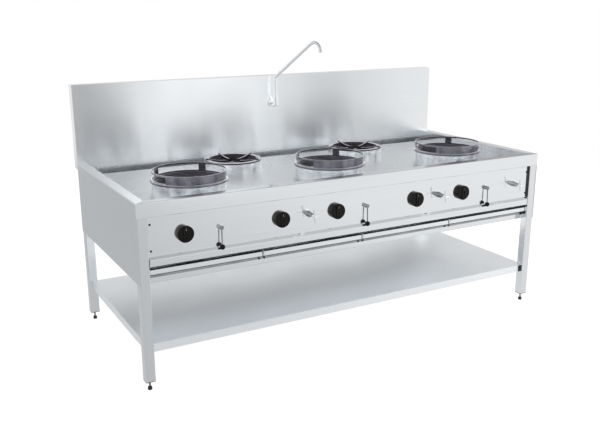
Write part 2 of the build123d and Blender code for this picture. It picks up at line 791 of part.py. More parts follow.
shelf_half_width = half_width - shelf_inset
shelf_depth = body_depth - 2 * shelf_inset
shelf_middle = front + body_depth / 2
with BuildPart() as undershelf:
    with BuildSketch(Plane.XY.offset(shelf_top - shelf_skirt)):
        with Locations((0, shelf_middle)):
            Rectangle(2 * shelf_half_width, shelf_depth)
        # The corners are notched round the legs.
        with Locations((0, body_middle)):
            with GridLocations(2 * leg_x, leg_rear - leg_front, 2, 2):
                Rectangle(leg_size, leg_size, mode=Mode.SUBTRACT)
        with Locations((0, body_middle)):
            with GridLocations(2 * (leg_x + leg_size), leg_rear - leg_front, 2, 2):
                Rectangle(leg_size, 2 * leg_size, mode=Mode.SUBTRACT)
            with GridLocations(2 * leg_x, leg_rear - leg_front + 2 * leg_size, 2, 2):
                Rectangle(2 * leg_size, leg_size, mode=Mode.SUBTRACT)
    extrude(amount=shelf_skirt)
    offset(amount=-sheet, openings=undershelf.faces().sort_by(Axis.Z)[0])
save(undershelf, "undershelf")

# ================= wok stations =================


def collar_shape(radius):
    """A welded round collar standing on the worktop, its top edge turned inwards."""
    with BuildPart() as collar:
        with BuildSketch(Plane.XZ):
            with BuildLine():
                FilletPolyline(
                    (radius - half_sheet, worktop_level),
                    (radius - half_sheet, collar_top - half_sheet),
                    (radius - collar_lip, collar_top - half_sheet),
                    radius=bend_radius,
                )
            trace(line_width=sheet)
        revolve(axis=Axis.Z)
    return collar.part


def bowl_shape(hole_radius, floor_radius, floor_level):
    """A fire bowl hung under the worktop, narrowing to the burner's head."""
    flange_level = worktop_level - sheet - half_sheet
    with BuildPart() as bowl:
        with BuildSketch(Plane.XZ):
            with BuildLine():
                Polyline(
                    (hole_radius + bowl_flange, flange_level),
                    (hole_radius - bowl_step, flange_level),
                    (floor_radius + bowl_flange, floor_level),
                    (floor_radius, floor_level),
                )
            trace(line_width=sheet)
        revolve(axis=Axis.Z)
    return bowl.part


def burner_shape(head_radius, head_top, tube_length):
    """A cast burner: drilled head, stem on the cross rail and mixing tube to the front."""
    foot_top = burner_rail_top + burner_foot_height
    throat = mixing_tube_radius * 0.7
    mouth = mixing_tube_radius * 1.3
    with BuildPart() as burner:
        with BuildSketch(Plane.XZ):
            with BuildLine():
                Polyline(
                    (0, burner_rail_top),
                    (burner_foot_radius, burner_rail_top),
                    (burner_foot_radius, foot_top),
                    (burner_stem_radius, foot_top + burner_foot_taper),
                    (burner_stem_radius, head_top - 34),
                    (head_radius - 6, head_top - 22),
                    (head_radius, head_top - 14),
                    (head_radius, head_top - 5),
                    (head_radius - 8, head_top),
                    (head_radius * 0.35, head_top),
                    (head_radius * 0.3, head_top - 6),
                    (0, head_top - 6),
                    close=True,
                )
            make_face()
        revolve(axis=Axis.Z)
        with Locations((0, 0, head_top)):
            with PolarLocations(head_radius * 0.68, flame_ports):
                Cylinder(flame_port_radius, flame_port_depth, mode=Mode.SUBTRACT)
        with BuildSketch(Plane.XY.offset(mixing_tube_height)):
            with BuildLine():
                Polyline(
                    (0, 0),
                    (mixing_tube_radius, 0),
                    (mixing_tube_radius, -tube_length * 0.35),
                    (throat, -tube_length * 0.7),
                    (mouth, -tube_length),
                    (mouth - mixing_tube_wall, -tube_length),
                    (throat - mixing_tube_wall, -tube_length * 0.7),
                    (0, -tube_length * 0.6),
                    close=True,
                )
            make_face()
        revolve(axis=Axis((0, 0, mixing_tube_height), (0, 1, 0)))
    return burner.part


wok_collar_form = collar_shape(wok_collar_radius)
with BuildPart() as wok_collars:
    with Locations(*wok_points):
        add(wok_collar_form)
save(wok_collars, "wok_collars")

pot_collar_form = collar_shape(pot_collar_radius)
with BuildPart() as pot_collars:
    with Locations(*pot_points):
        add(pot_collar_form)
save(pot_collars, "pot_collars")

wok_bowl_form = bowl_shape(wok_hole_radius, wok_head_radius + bowl_clearance, wok_bowl_floor)
with BuildPart() as wok_bowls:
    with Locations(*wok_points):
        add(wok_bowl_form)
save(wok_bowls, "wok_bowls")

pot_bowl_form = bowl_shape(pot_hole_radius, pot_head_radius + bowl_clearance, pot_bowl_floor)
with BuildPart() as pot_bowls:
    with Locations(*pot_points):
        add(pot_bowl_form)
save(pot_bowls, "pot_bowls")

injector_y = gas_y + gas_pipe_radius + injector_gap
wok_burner_form = burner_shape(wok_head_radius, wok_head_top, wok_y - injector_y)
with BuildPart() as wok_burners:
    with Locations(*wok_points):
        add(wok_burner_form)
save(wok_burners, "wok_burners")

pot_burner_form = burner_shape(pot_head_radius, pot_head_top, pot_y - injector_y)
with BuildPart() as pot_burners:
    with Locations(*pot_points):
        add(pot_burner_form)
save(pot_burners, "pot_burners")

# Two cross rails carry the burners' stems between the side panels.
burner_rail_section = [
    (-burner_rail_width / 2 + half_sheet, burner_rail_top - burner_rail_height),
    (-burner_rail_width / 2 + half_sheet, burner_rail_top - half_sheet),
    (burner_rail_width / 2 - half_sheet, burner_rail_top - half_sheet),
    (burner_rail_width / 2 - half_sheet, burner_rail_top - burner_rail_height),
]
burner_rail_form = folded_sheet(Plane.YZ, burner_rail_section, half_width - sheet, both=True)
with BuildPart() as burner_rails:
    with Locations((0, wok_y), (0, pot_y)):
        add(burner_rail_form)
save(burner_rails, "burner_rails")

# Wok ring: flange on the collar, tall band with three windows and a closed front shield.
ring_base = collar_top + sliding_gap
band_inner = ring_band_radius - ring_wall
flange_top = ring_base + ring_flange_height
window_bottom = flange_top + window_sill
with BuildPart() as wok_ring_form:
    with BuildSketch(Plane.XZ):
        with BuildLine():
            Polyline(
                (wok_hole_radius, ring_base),
                (ring_flange_radius, ring_base),
                (ring_flange_radius, flange_top - 4),
                (ring_flange_radius - 4, flange_top),
                (ring_band_radius, flange_top),
                (ring_band_radius, ring_top - 1),
                (ring_band_radius - 1, ring_top),
                (band_inner + 1, ring_top),
                (band_inner, ring_top - 1),
                (band_inner, ring_base + 6),
                (wok_hole_radius, ring_base + 4),
                close=True,
            )
        make_face()
    revolve(axis=Axis.Z)
    for middle in (90, 90 - side_window_middle, 90 + side_window_middle):
        with BuildSketch(Plane.XY.offset(window_bottom)):
            with BuildLine():
                arc = CenterArc((0, 0), ring_flange_radius, middle - window_half_width, 2 * window_half_width)
                Line((0, 0), arc @ 0)
                Line(arc @ 1, (0, 0))
            make_face()
        extrude(amount=window_height, mode=Mode.SUBTRACT)
    # The shield's two ends meet at the exact front in a narrow upright seam.
    with BuildSketch(Plane.XY.offset(flange_top)):
        with Locations((0, -ring_band_radius)):
            Rectangle(shield_seam, 4 * ring_wall)
    extrude(amount=ring_height, mode=Mode.SUBTRACT)

for name, point in zip(("wok_ring_left", "wok_ring_middle", "wok_ring_right"), wok_points):
    with BuildPart() as wok_ring:
        with Locations(point):
            add(wok_ring_form.part)
    save(wok_ring, name)

# Pot support: a cast ring in the collar; its fins dip to the middle and end in horns at the rim.
support_base = collar_top + sliding_gap
support_outer = pot_collar_radius - half_sheet
support_inner = pot_hole_radius - support_ring_step
ring_level = support_base + support_ring_height
horn_top = ring_level + horn_height
with BuildPart() as pot_support_form:
    with BuildSketch(Plane.XY.offset(support_base)):
        Circle(support_outer)
        Circle(support_inner, mode=Mode.SUBTRACT)
    extrude(amount=support_ring_height)
    with BuildSketch(Plane.XZ) as fin_outline:
        with BuildLine():
            fin_start = (fin_inner_radius, ring_level - fin_dip)
            horn_tip = (support_outer - horn_width, horn_top)
            fin_middle = ((fin_start[0] + horn_tip[0]) / 2, (fin_start[1] + horn_top) / 2 - fin_sag)
            ThreePointArc(fin_start, fin_middle, horn_tip)
            Polyline(
                horn_tip,
                (support_outer, ring_level),
                (support_outer, support_base),
                (support_inner, support_base),
                (support_inner - fin_foot_depth, support_base - fin_foot_depth),
                (fin_inner_radius, support_base - fin_foot_depth),
                fin_start,
            )
        make_face()
    with PolarLocations(0, support_fins, start_angle=support_turn):
        add(extrude(fin_outline.sketch, amount=fin_thickness / 2, both=True, mode=Mode.PRIVATE))

for name, point in zip(("pot_support_left", "pot_support_right"), pot_points):
    with BuildPart() as pot_support:
        with Locations(point):
            add(pot_support_form.part)
    save(pot_support, name)

# ================= gas =================

gas_start = min(knob_places.values()) - pipe_overrun
gas_points = [
    (gas_start, gas_y, gas_height),
    (gas_pipe_x, gas_y, gas_height),
    (gas_pipe_x, back + pipe_stand_off, gas_height),
]
gas_bore = gas_pipe_radius - pipe_wall
gas_pipe = pipe(gas_points, gas_pipe_radius, pipe_bend, pipe_wall)
with BuildPart() as gas_manifold:
    add(gas_pipe)
    add(supply_stub(gas_pipe_x, gas_height, gas_pipe_radius, gas_stub_radius, gas_bore))
    # The far end is capped.
    with BuildSketch(Plane.YZ.offset(gas_start)):
        with Locations((gas_y, gas_height)):
            Circle(gas_pipe_radius + pipe_cap_rim)
    extrude(amount=-pipe_cap)
save(gas_manifold, "gas_manifold")

# Each valve body reaches from the panel to the pipe; its feed pipe runs to its own burner.
valve_back = gas_y - gas_pipe_radius
valve_front = panel_face + sheet
valve_y = (valve_front + valve_back) / 2
injector_start = injector_y - sheet
feed_pipes = {}
for key, x in knob_places.items():
    feed_route = [
        (x, valve_y, gas_height - valve_radius / 2),
        (x, valve_y, feed_pipe_height),
        (burner_places[key], valve_y, feed_pipe_height),
        (burner_places[key], injector_start, feed_pipe_height),
    ]
    feed_pipes[key] = bent_rod(feed_route, feed_pipe_radius, feed_pipe_bend)
spindle_reach = valve_front - hub_face - running_fit
with BuildPart() as gas_valves:
    for key, x in knob_places.items():
        with BuildSketch(facing_front(x, valve_back, gas_height)):
            Circle(valve_radius)
        extrude(amount=valve_back - valve_front)
        with BuildSketch(facing_front(x, valve_front, gas_height)):
            Circle(spindle_radius)
        extrude(amount=spindle_reach + spindle_socket)
        add(feed_pipes[key])
        with BuildSketch(facing_front(burner_places[key], injector_start, feed_pipe_height)):
            Circle(feed_pipe_radius + injector_rim)
        extrude(amount=injector_length)
save(gas_valves, "gas_valves")

with BuildPart() as lever_valves:
    for x in lever_places.values():
        with BuildSketch(facing_front(x, valve_back, lever_height)):
            Circle(valve_radius * 0.8)
        extrude(amount=valve_back - valve_front)
        with BuildSketch(facing_front(x, valve_front, lever_height)):
            Circle(spindle_radius)
        extrude(amount=spindle_reach + lever_hub_depth / 2)
save(lever_valves, "lever_valves")

# ================= water =================

water_points = [
    (max(tap_places.values()) + pipe_overrun, water_y, water_pipe_height),
    (water_pipe_x, water_y, water_pipe_height),
    (water_pipe_x, back + pipe_stand_off, water_pipe_height),
]
water_bore = water_pipe_radius - water_pipe_wall
water_pipe = pipe(water_points, water_pipe_radius, pipe_bend, water_pipe_wall)
faucet_pipe_y = back + splash_thickness / 2
faucet_inlet_height = splash_bottom - faucet_inlet_drop
faucet_pipe_top = faucet_height - faucet_arm_radius
with BuildPart() as water_pipes:
    add(water_pipe)
    add(supply_stub(water_pipe_x, water_pipe_height, water_pipe_radius, water_stub_radius, water_bore))
    # The faucet has its own pipe down the inside of the splashback, with a threaded lower end.
    with BuildSketch(Plane.XY.offset(faucet_inlet_height + stub_length)):
        with Locations((0, faucet_pipe_y)):
            Circle(water_pipe_radius)
            Circle(water_bore, mode=Mode.SUBTRACT)
    extrude(amount=faucet_pipe_top - faucet_inlet_height - stub_length)
    with BuildSketch(Plane.XY.offset(faucet_inlet_height)):
        with Locations((0, faucet_pipe_y)):
            Circle(water_stub_radius)
            Circle(water_bore, mode=Mode.SUBTRACT)
    extrude(amount=stub_length)
save(water_pipes, "water_pipes")

# Faucet: wall flange, arm through the splashback, and an upright barrel.
with BuildPart() as faucet_body:
    with BuildSketch(facing_front(0, back, faucet_height)):
        Circle(faucet_flange_radius)
    extrude(amount=faucet_flange_thickness)
    chamfer(faucet_body.edges().group_by(Axis.Y)[0], length=faucet_flange_thickness / 2)
    with BuildSketch(facing_front(0, faucet_pipe_y + faucet_arm_radius, faucet_height)):
        Circle(faucet_arm_radius)
    extrude(amount=faucet_pipe_y + faucet_arm_radius - riser_y)
    with BuildSketch(Plane(origin=(0, riser_y, barrel_bottom))):
        Circle(barrel_radius)
    extrude(amount=barrel_top - barrel_bottom)
    fillet(faucet_body.edges().group_by(Axis.Z)[0], radius=barrel_rounding)
    with BuildSketch(Plane(origin=(0, riser_y, barrel_top))):
        Circle(spout_radius + running_fit)
    extrude(amount=-spout_socket, mode=Mode.SUBTRACT)
save(faucet_body, "faucet_body")

with BuildPart() as spout_nut:
    with BuildSketch(Plane(origin=(0, riser_y, barrel_top))):
        Circle(nut_radius)
        Circle(spout_radius + running_fit, mode=Mode.SUBTRACT)
    extrude(amount=nut_height)
    chamfer(spout_nut.faces().sort_by(Axis.Z)[-1].outer_wire().edges(), length=1.5)
save(spout_nut, "spout_nut")

spout_foot = barrel_top - spout_socket + running_fit
spout_turn = math.radians(spout_angle)
spout_direction = Vector(math.cos(spout_turn), math.sin(spout_turn), 0)
spout_plane = Plane(origin=(0, riser_y, 0), x_dir=spout_direction,
                    z_dir=spout_direction.cross(Vector(0, 0, 1)))
with BuildPart() as spout:
    with BuildLine(spout_plane) as spout_route:
        FilletPolyline(
            (0, spout_foot),
            (0, riser_top),
            (spout_rise_reach, riser_top + spout_rise),
            (spout_crown_reach, riser_top + spout_crown),
            (spout_tip_reach, riser_top + spout_tip),
            radius=[14, 30, 22],
        )
    with BuildSketch(Plane.XY.offset(spout_foot)):
        with Locations((0, riser_y)):
            Circle(spout_radius)
    sweep()
    # A small joint collar at the top of the riser and an aerator at the tip.
    with BuildSketch(Plane(origin=(0, riser_y, riser_top - 26))):
        Circle(spout_radius + 2)
    extrude(amount=8)
    with BuildSketch(Plane(origin=spout_route.line @ 1, z_dir=spout_route.line % 1)):
        Circle(spout_radius + 1.5)
    extrude(amount=-16)
    with BuildSketch(Plane(origin=spout_route.line @ 1, z_dir=spout_route.line % 1)):
        Circle(spout_radius - 1.5)
    extrude(amount=-12, mode=Mode.SUBTRACT)
save(spout, "spout")
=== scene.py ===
"""Looks of a free-standing stainless wok range: finishes, fine fittings, studio and camera."""

import logging
import math
from contextlib import contextmanager
from dataclasses import dataclass
from enum import Enum
from typing import Callable, Iterable, Iterator

import bpy
from mathutils import Matrix, Vector


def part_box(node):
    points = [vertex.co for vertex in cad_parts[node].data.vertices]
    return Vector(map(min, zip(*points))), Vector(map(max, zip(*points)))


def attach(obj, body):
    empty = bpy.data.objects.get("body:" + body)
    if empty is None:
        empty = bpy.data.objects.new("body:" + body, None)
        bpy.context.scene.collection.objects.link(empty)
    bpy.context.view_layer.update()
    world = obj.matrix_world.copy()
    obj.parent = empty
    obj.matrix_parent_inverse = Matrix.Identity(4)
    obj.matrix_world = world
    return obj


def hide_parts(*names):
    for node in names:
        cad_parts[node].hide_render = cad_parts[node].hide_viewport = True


log = logging.getLogger("wok_range")

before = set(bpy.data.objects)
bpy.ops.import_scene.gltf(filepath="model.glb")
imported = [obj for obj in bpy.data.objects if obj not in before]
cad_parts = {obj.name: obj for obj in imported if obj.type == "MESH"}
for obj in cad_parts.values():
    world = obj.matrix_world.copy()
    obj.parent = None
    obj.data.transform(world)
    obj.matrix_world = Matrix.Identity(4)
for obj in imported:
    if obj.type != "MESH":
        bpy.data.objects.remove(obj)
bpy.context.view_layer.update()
ROOT = "range_body"
Point = tuple[float, float, float]
Colour = tuple[float, float, float]
Socket = bpy.types.NodeSocket
Materials = dict[str, bpy.types.Material]

FRONT: Point = (0, -1, 0)
BACK: Point = (0, 1, 0)
UP: Point = (0, 0, 1)
DOWN: Point = (0, 0, -1)


class GrainRun(Enum):
    """The way a sheet's brushing runs, as the stretch of its grain noise along X, Y and Z."""

    ACROSS = (1.5, 260.0, 260.0)
    UPRIGHT = (260.0, 260.0, 1.5)
    ROUND = (90.0, 90.0, 6.0)


# ---------------------------------------------------------------- finishes


class NodeBench:
    """Adds shader nodes to a material or a group and joins them."""

    def __init__(self, tree: bpy.types.NodeTree) -> None:
        """Take the tree to build in."""
        self.tree = tree

    def fill(self, node: bpy.types.Node, **inputs: object) -> bpy.types.Node:
        """Set a node's inputs to plain values or join them to sockets.

        Args:
            node: the node to fill.
            inputs: what each input takes, spaces in its name written as underscores.

        Returns:
            The same node.
        """
        for name, value in inputs.items():
            socket = node.inputs[name.replace("_", " ")]
            if isinstance(value, Socket):
                self.join(value, socket)
            else:
                socket.default_value = value
        return node

    def add(self, kind: str, **inputs: object) -> bpy.types.Node:
        """Add a node of Blender's type name and fill its inputs."""
        return self.fill(self.tree.nodes.new(kind), **inputs)

    def use(self, group: bpy.types.NodeTree, **inputs: object) -> bpy.types.Node:
        """Add a node group and fill its inputs."""
        node = self.tree.nodes.new("ShaderNodeGroup")
        node.node_tree = group
        return self.fill(node, **inputs)

    def join(self, source: Socket, target: Socket) -> None:
        """Link an output to an input."""
        self.tree.links.new(source, target)

    def place(self) -> Socket:
        """Return the object coordinates."""
        return self.add("ShaderNodeTexCoord").outputs["Object"]

    def noise(self, place: Socket, **inputs: object) -> Socket:
        """Return a noise at a place, with the inputs filled."""
        return self.add("ShaderNodeTexNoise", Vector=place, **inputs).outputs["Fac"]

    def part(self, vector: Socket, axis: str) -> Socket:
        """Return one component of a vector."""
        return self.add("ShaderNodeSeparateXYZ", Vector=vector).outputs[axis]

    def bump(self, height: Socket, strength: Socket, distance: float) -> Socket:
        """Return the normal of a bump from a height."""
        node = self.add("ShaderNodeBump", Height=height, Strength=strength, Distance=distance)
        return node.outputs["Normal"]

    def reckon(self, operation: str, *terms: object) -> Socket:
        """Add a Math node on sockets and plain numbers.

        Args:
            operation: the Math node's operation.
            terms: its inputs in order, each a socket or a number.

        Returns:
            The result's socket.
        """
        node = self.tree.nodes.new("ShaderNodeMath")
        node.operation = operation
        for index, term in enumerate(terms):
            if isinstance(term, Socket):
                self.join(term, node.inputs[index])
            else:
                node.inputs[index].default_value = term
        return node.outputs["Value"]

    def ramp(self, factor: Socket, stops: Iterable[tuple[float, Colour]]) -> Socket:
        """Add a colour ramp.

        Args:
            factor: the value that drives it.
            stops: position and colour of each stop, in order.

        Returns:
            The colour's socket.
        """
        node = self.tree.nodes.new("ShaderNodeValToRGB")
        stops = list(stops)
        elements = node.color_ramp.elements
        while len(elements) < len(stops):
            elements.new(0.5)
        for element, (position, colour) in zip(elements, stops):
            element.position = position
            element.color = (*colour, 1)
        self.join(factor, node.inputs["Fac"])
        return node.outputs["Color"]

    def spread(self, factor: Socket, low: float, high: float, start: float = 0.3, end: float = 0.7) -> Socket:
        """Map a noise or a height onto a range of values.

        Args:
            factor: the value that is mapped.
            low: result at the start.
            high: result at the end.
            start: factor at which the range starts.
            end: factor at which it ends.

        Returns:
            The mapped value's socket.
        """
        limits = {"From_Min": start, "From_Max": end, "To_Min": low, "To_Max": high}
        return self.add("ShaderNodeMapRange", Value=factor, **limits).outputs["Result"]

    def blend(self, factor: Socket, first: object, second: object) -> Socket:
        """Mix two colours, each a socket or a plain colour.

        Args:
            factor: the share of the second.
            first: the colour at 0.
            second: the colour at 1.

        Returns:
            The mixed colour's socket.
        """
        node = self.tree.nodes.new("ShaderNodeMix")
        node.data_type = "RGBA"
        self.join(factor, node.inputs["Factor"])
        for name, colour in (("A", first), ("B", second)):
            socket = next(entry for entry in node.inputs if entry.name == name and entry.type == "RGBA")
            if isinstance(colour, Socket):
                self.join(colour, socket)
            else:
                socket.default_value = (*colour, 1)
        return next(entry for entry in node.outputs if entry.type == "RGBA")


def new_group(name: str, inputs: Iterable[tuple[str, str, object]],
              outputs: Iterable[tuple[str, str]]) -> tuple[NodeBench, bpy.types.Node, bpy.types.Node]:
    """Make a shader node group with named sockets.

    Args:
        name: the group's name.
        inputs: name, socket type and default of each input.
        outputs: name and socket type of each output.

    Returns:
        A bench on the group, its input node and its output node.
    """
    group = bpy.data.node_groups.new(name, "ShaderNodeTree")
    for socket_name, socket_type, default in inputs:
        socket = group.interface.new_socket(socket_name, in_out="INPUT", socket_type=socket_type)
        socket.default_value = default
    for socket_name, socket_type in outputs:
        group.interface.new_socket(socket_name, in_out="OUTPUT", socket_type=socket_type)
    bench = NodeBench(group)
    return bench, bench.add("NodeGroupInput"), bench.add("NodeGroupOutput")


def make_brushing_group() -> bpy.types.NodeTree:
    """Build the brushed grain: long fine scratches, with broad soft clouds and wiping marks over them.

    Returns:
        A group whose outputs are Grain, Cloud and Normal.
    """
    bench, source, result = new_group(
        "Brushing",
        [("Coordinates", "NodeSocketVector", (0, 0, 0)), ("Depth", "NodeSocketFloat", 0.05)],
        [("Grain", "NodeSocketFloat"), ("Cloud", "NodeSocketFloat"), ("Normal", "NodeSocketVector")],
    )
    grain = bench.noise(source.outputs["Coordinates"], Scale=1.0, Detail=6.0, Roughness=0.65)
    cloud = bench.noise(bench.place(), Scale=2.2, Detail=4.0, Roughness=0.55, Distortion=0.4)
    normal = bench.bump(grain, source.outputs["Depth"], 0.0004)
    bench.fill(result, Grain=grain, Cloud=cloud, Normal=normal)
    return bench.tree


def make_casting_group() -> bpy.types.NodeTree:
    """Build the pitted skin of a casting or a moulded plastic.

    Returns:
        A group whose outputs are Speckle, Wear and Normal.
    """
    bench, source, result = new_group(
        "Casting Skin",
        [("Scale", "NodeSocketFloat", 400.0), ("Depth", "NodeSocketFloat", 0.3)],
        [("Speckle", "NodeSocketFloat"), ("Wear", "NodeSocketFloat"), ("Normal", "NodeSocketVector")],
    )
    speckle = bench.noise(bench.place(), Scale=source.outputs["Scale"], Detail=5.0, Roughness=0.7)
    wear = bench.noise(bench.place(), Scale=14.0, Detail=4.0, Roughness=0.6)
    normal = bench.bump(speckle, source.outputs["Depth"], 0.0006)
    bench.fill(result, Speckle=speckle, Wear=wear, Normal=normal)
    return bench.tree


def make_top_wear_and_highlight_group() -> bpy.types.NodeTree:
    """Build the bright rubbed wear and painted highlight along upper edges, by height and by how far a face
    looks up.

    Returns:
        A group whose output is Mask, 1 where the metal is rubbed bright and carries a painted highlight.
    """
    bench, source, result = new_group(
        "Top Wear And Highlight",
        [("Level", "NodeSocketFloat", 0.9), ("Fade", "NodeSocketFloat", 0.002),
         ("Upward", "NodeSocketFloat", 0.5)],
        [("Mask", "NodeSocketFloat")],
    )
    above = bench.reckon("SUBTRACT", bench.part(bench.place(), "Z"), source.outputs["Level"])
    height = bench.reckon("DIVIDE", above, source.outputs["Fade"])
    facing = bench.part(bench.add("ShaderNodeTexCoord").outputs["Normal"], "Z")
    looking_up = bench.reckon("GREATER_THAN", facing, source.outputs["Upward"])
    patch = bench.spread(bench.noise(bench.place(), Scale=60.0, Detail=3.0), 0.55, 1.0)
    raised = bench.add("ShaderNodeClamp", Value=height).outputs["Result"]
    rubbed_highlight = bench.reckon("MULTIPLY", raised, looking_up)
    bench.fill(result, Mask=bench.reckon("MULTIPLY", rubbed_highlight, patch))
    return bench.tree


BRUSHING = make_brushing_group()
CASTING = make_casting_group()
TOP_WEAR_AND_HIGHLIGHT = make_top_wear_and_highlight_group()


def start_material(name: str) -> tuple[bpy.types.Material, NodeBench, bpy.types.Node]:
    """Make a node material with an empty Principled shader.

    Args:
        name: the material's name.

    Returns:
        The material, its bench and its shader node.
    """
    material = bpy.data.materials.new(name)
    material.use_nodes = True
    shader = material.node_tree.nodes["Principled BSDF"]
    return material, NodeBench(material.node_tree), shader


@dataclass(frozen=True)
class BrushedSteel:
    """Stainless sheet with a directional brushed grain and a faint cool cast.

    smooth and rough are the ends of its roughness, streaking stretches its reflections upright, and glancing
    dims what it mirrors at low angles.
    """

    name: str
    run: GrainRun
    tone: float = 0.7
    spread: float = 0.02
    smooth: float = 0.24
    rough: float = 0.34
    depth: float = 0.03
    cast: Colour = (0.955, 0.98, 1.0)
    streaking: float = 0.0
    glancing: float = 1.0

    def shade(self, tone: float) -> Colour:
        """Return the steel's colour at a tone."""
        return tuple(tone * share for share in self.cast)

    def make(self) -> bpy.types.Material:
        """Build the material."""
        material, bench, shader = start_material(self.name)
        stretched = bench.add("ShaderNodeMapping", Vector=bench.place(), Scale=self.run.value)
        brushing = bench.use(BRUSHING, Coordinates=stretched.outputs["Vector"], Depth=self.depth).outputs
        stops = [(0.3, self.shade(self.tone - self.spread)), (0.7, self.shade(self.tone + self.spread))]
        bench.fill(
            shader,
            Base_Color=bench.ramp(brushing["Grain"], stops),
            Roughness=bench.spread(brushing["Cloud"], self.smooth, self.rough),
            Normal=brushing["Normal"],
            Metallic=1.0,
            Specular_Tint=(self.glancing, self.glancing, self.glancing, 1.0),
            Anisotropic=self.streaking,
            # A quarter turn draws the reflections out upright.
            Anisotropic_Rotation=0.25,
        )
        return material


@dataclass(frozen=True)
class Skin:
    """A cast, moulded or plated surface with fine speckle and faint wear.

    Faces that look up by more than a set slope, from a set height up, take a bright colour: rubbed wear and a
    painted highlight.
    """

    name: str
    dark: Colour
    light: Colour
    metallic: float
    smooth: float
    rough: float
    grain: float = 400.0
    depth: float = 0.25
    rubbed_highlight: Colour | None = None
    rubbed_highlight_level: float = 0.9
    rubbed_highlight_fade: float = 0.002
    rubbed_highlight_upward: float = 0.5
    specular: float = 0.5

    def make(self) -> bpy.types.Material:
        """Build the material."""
        material, bench, shader = start_material(self.name)
        skin = bench.use(CASTING, Scale=self.grain, Depth=self.depth).outputs
        colour = bench.ramp(skin["Wear"], [(0.3, self.dark), (0.7, self.light)])
        # Painted highlight and rubbed wear: upward faces near the top are blended to the bright colour.
        if self.rubbed_highlight:
            wear = bench.use(TOP_WEAR_AND_HIGHLIGHT, Level=self.rubbed_highlight_level, Fade=self.rubbed_highlight_fade, Upward=self.rubbed_highlight_upward)
            colour = bench.blend(wear.outputs["Mask"], colour, self.rubbed_highlight)
        bench.fill(
            shader,
            Base_Color=colour,
            Roughness=bench.spread(skin["Speckle"], self.smooth, self.rough),
            Normal=skin["Normal"],
            Metallic=self.metallic,
            Specular_IOR_Level=self.specular,
        )
        return material


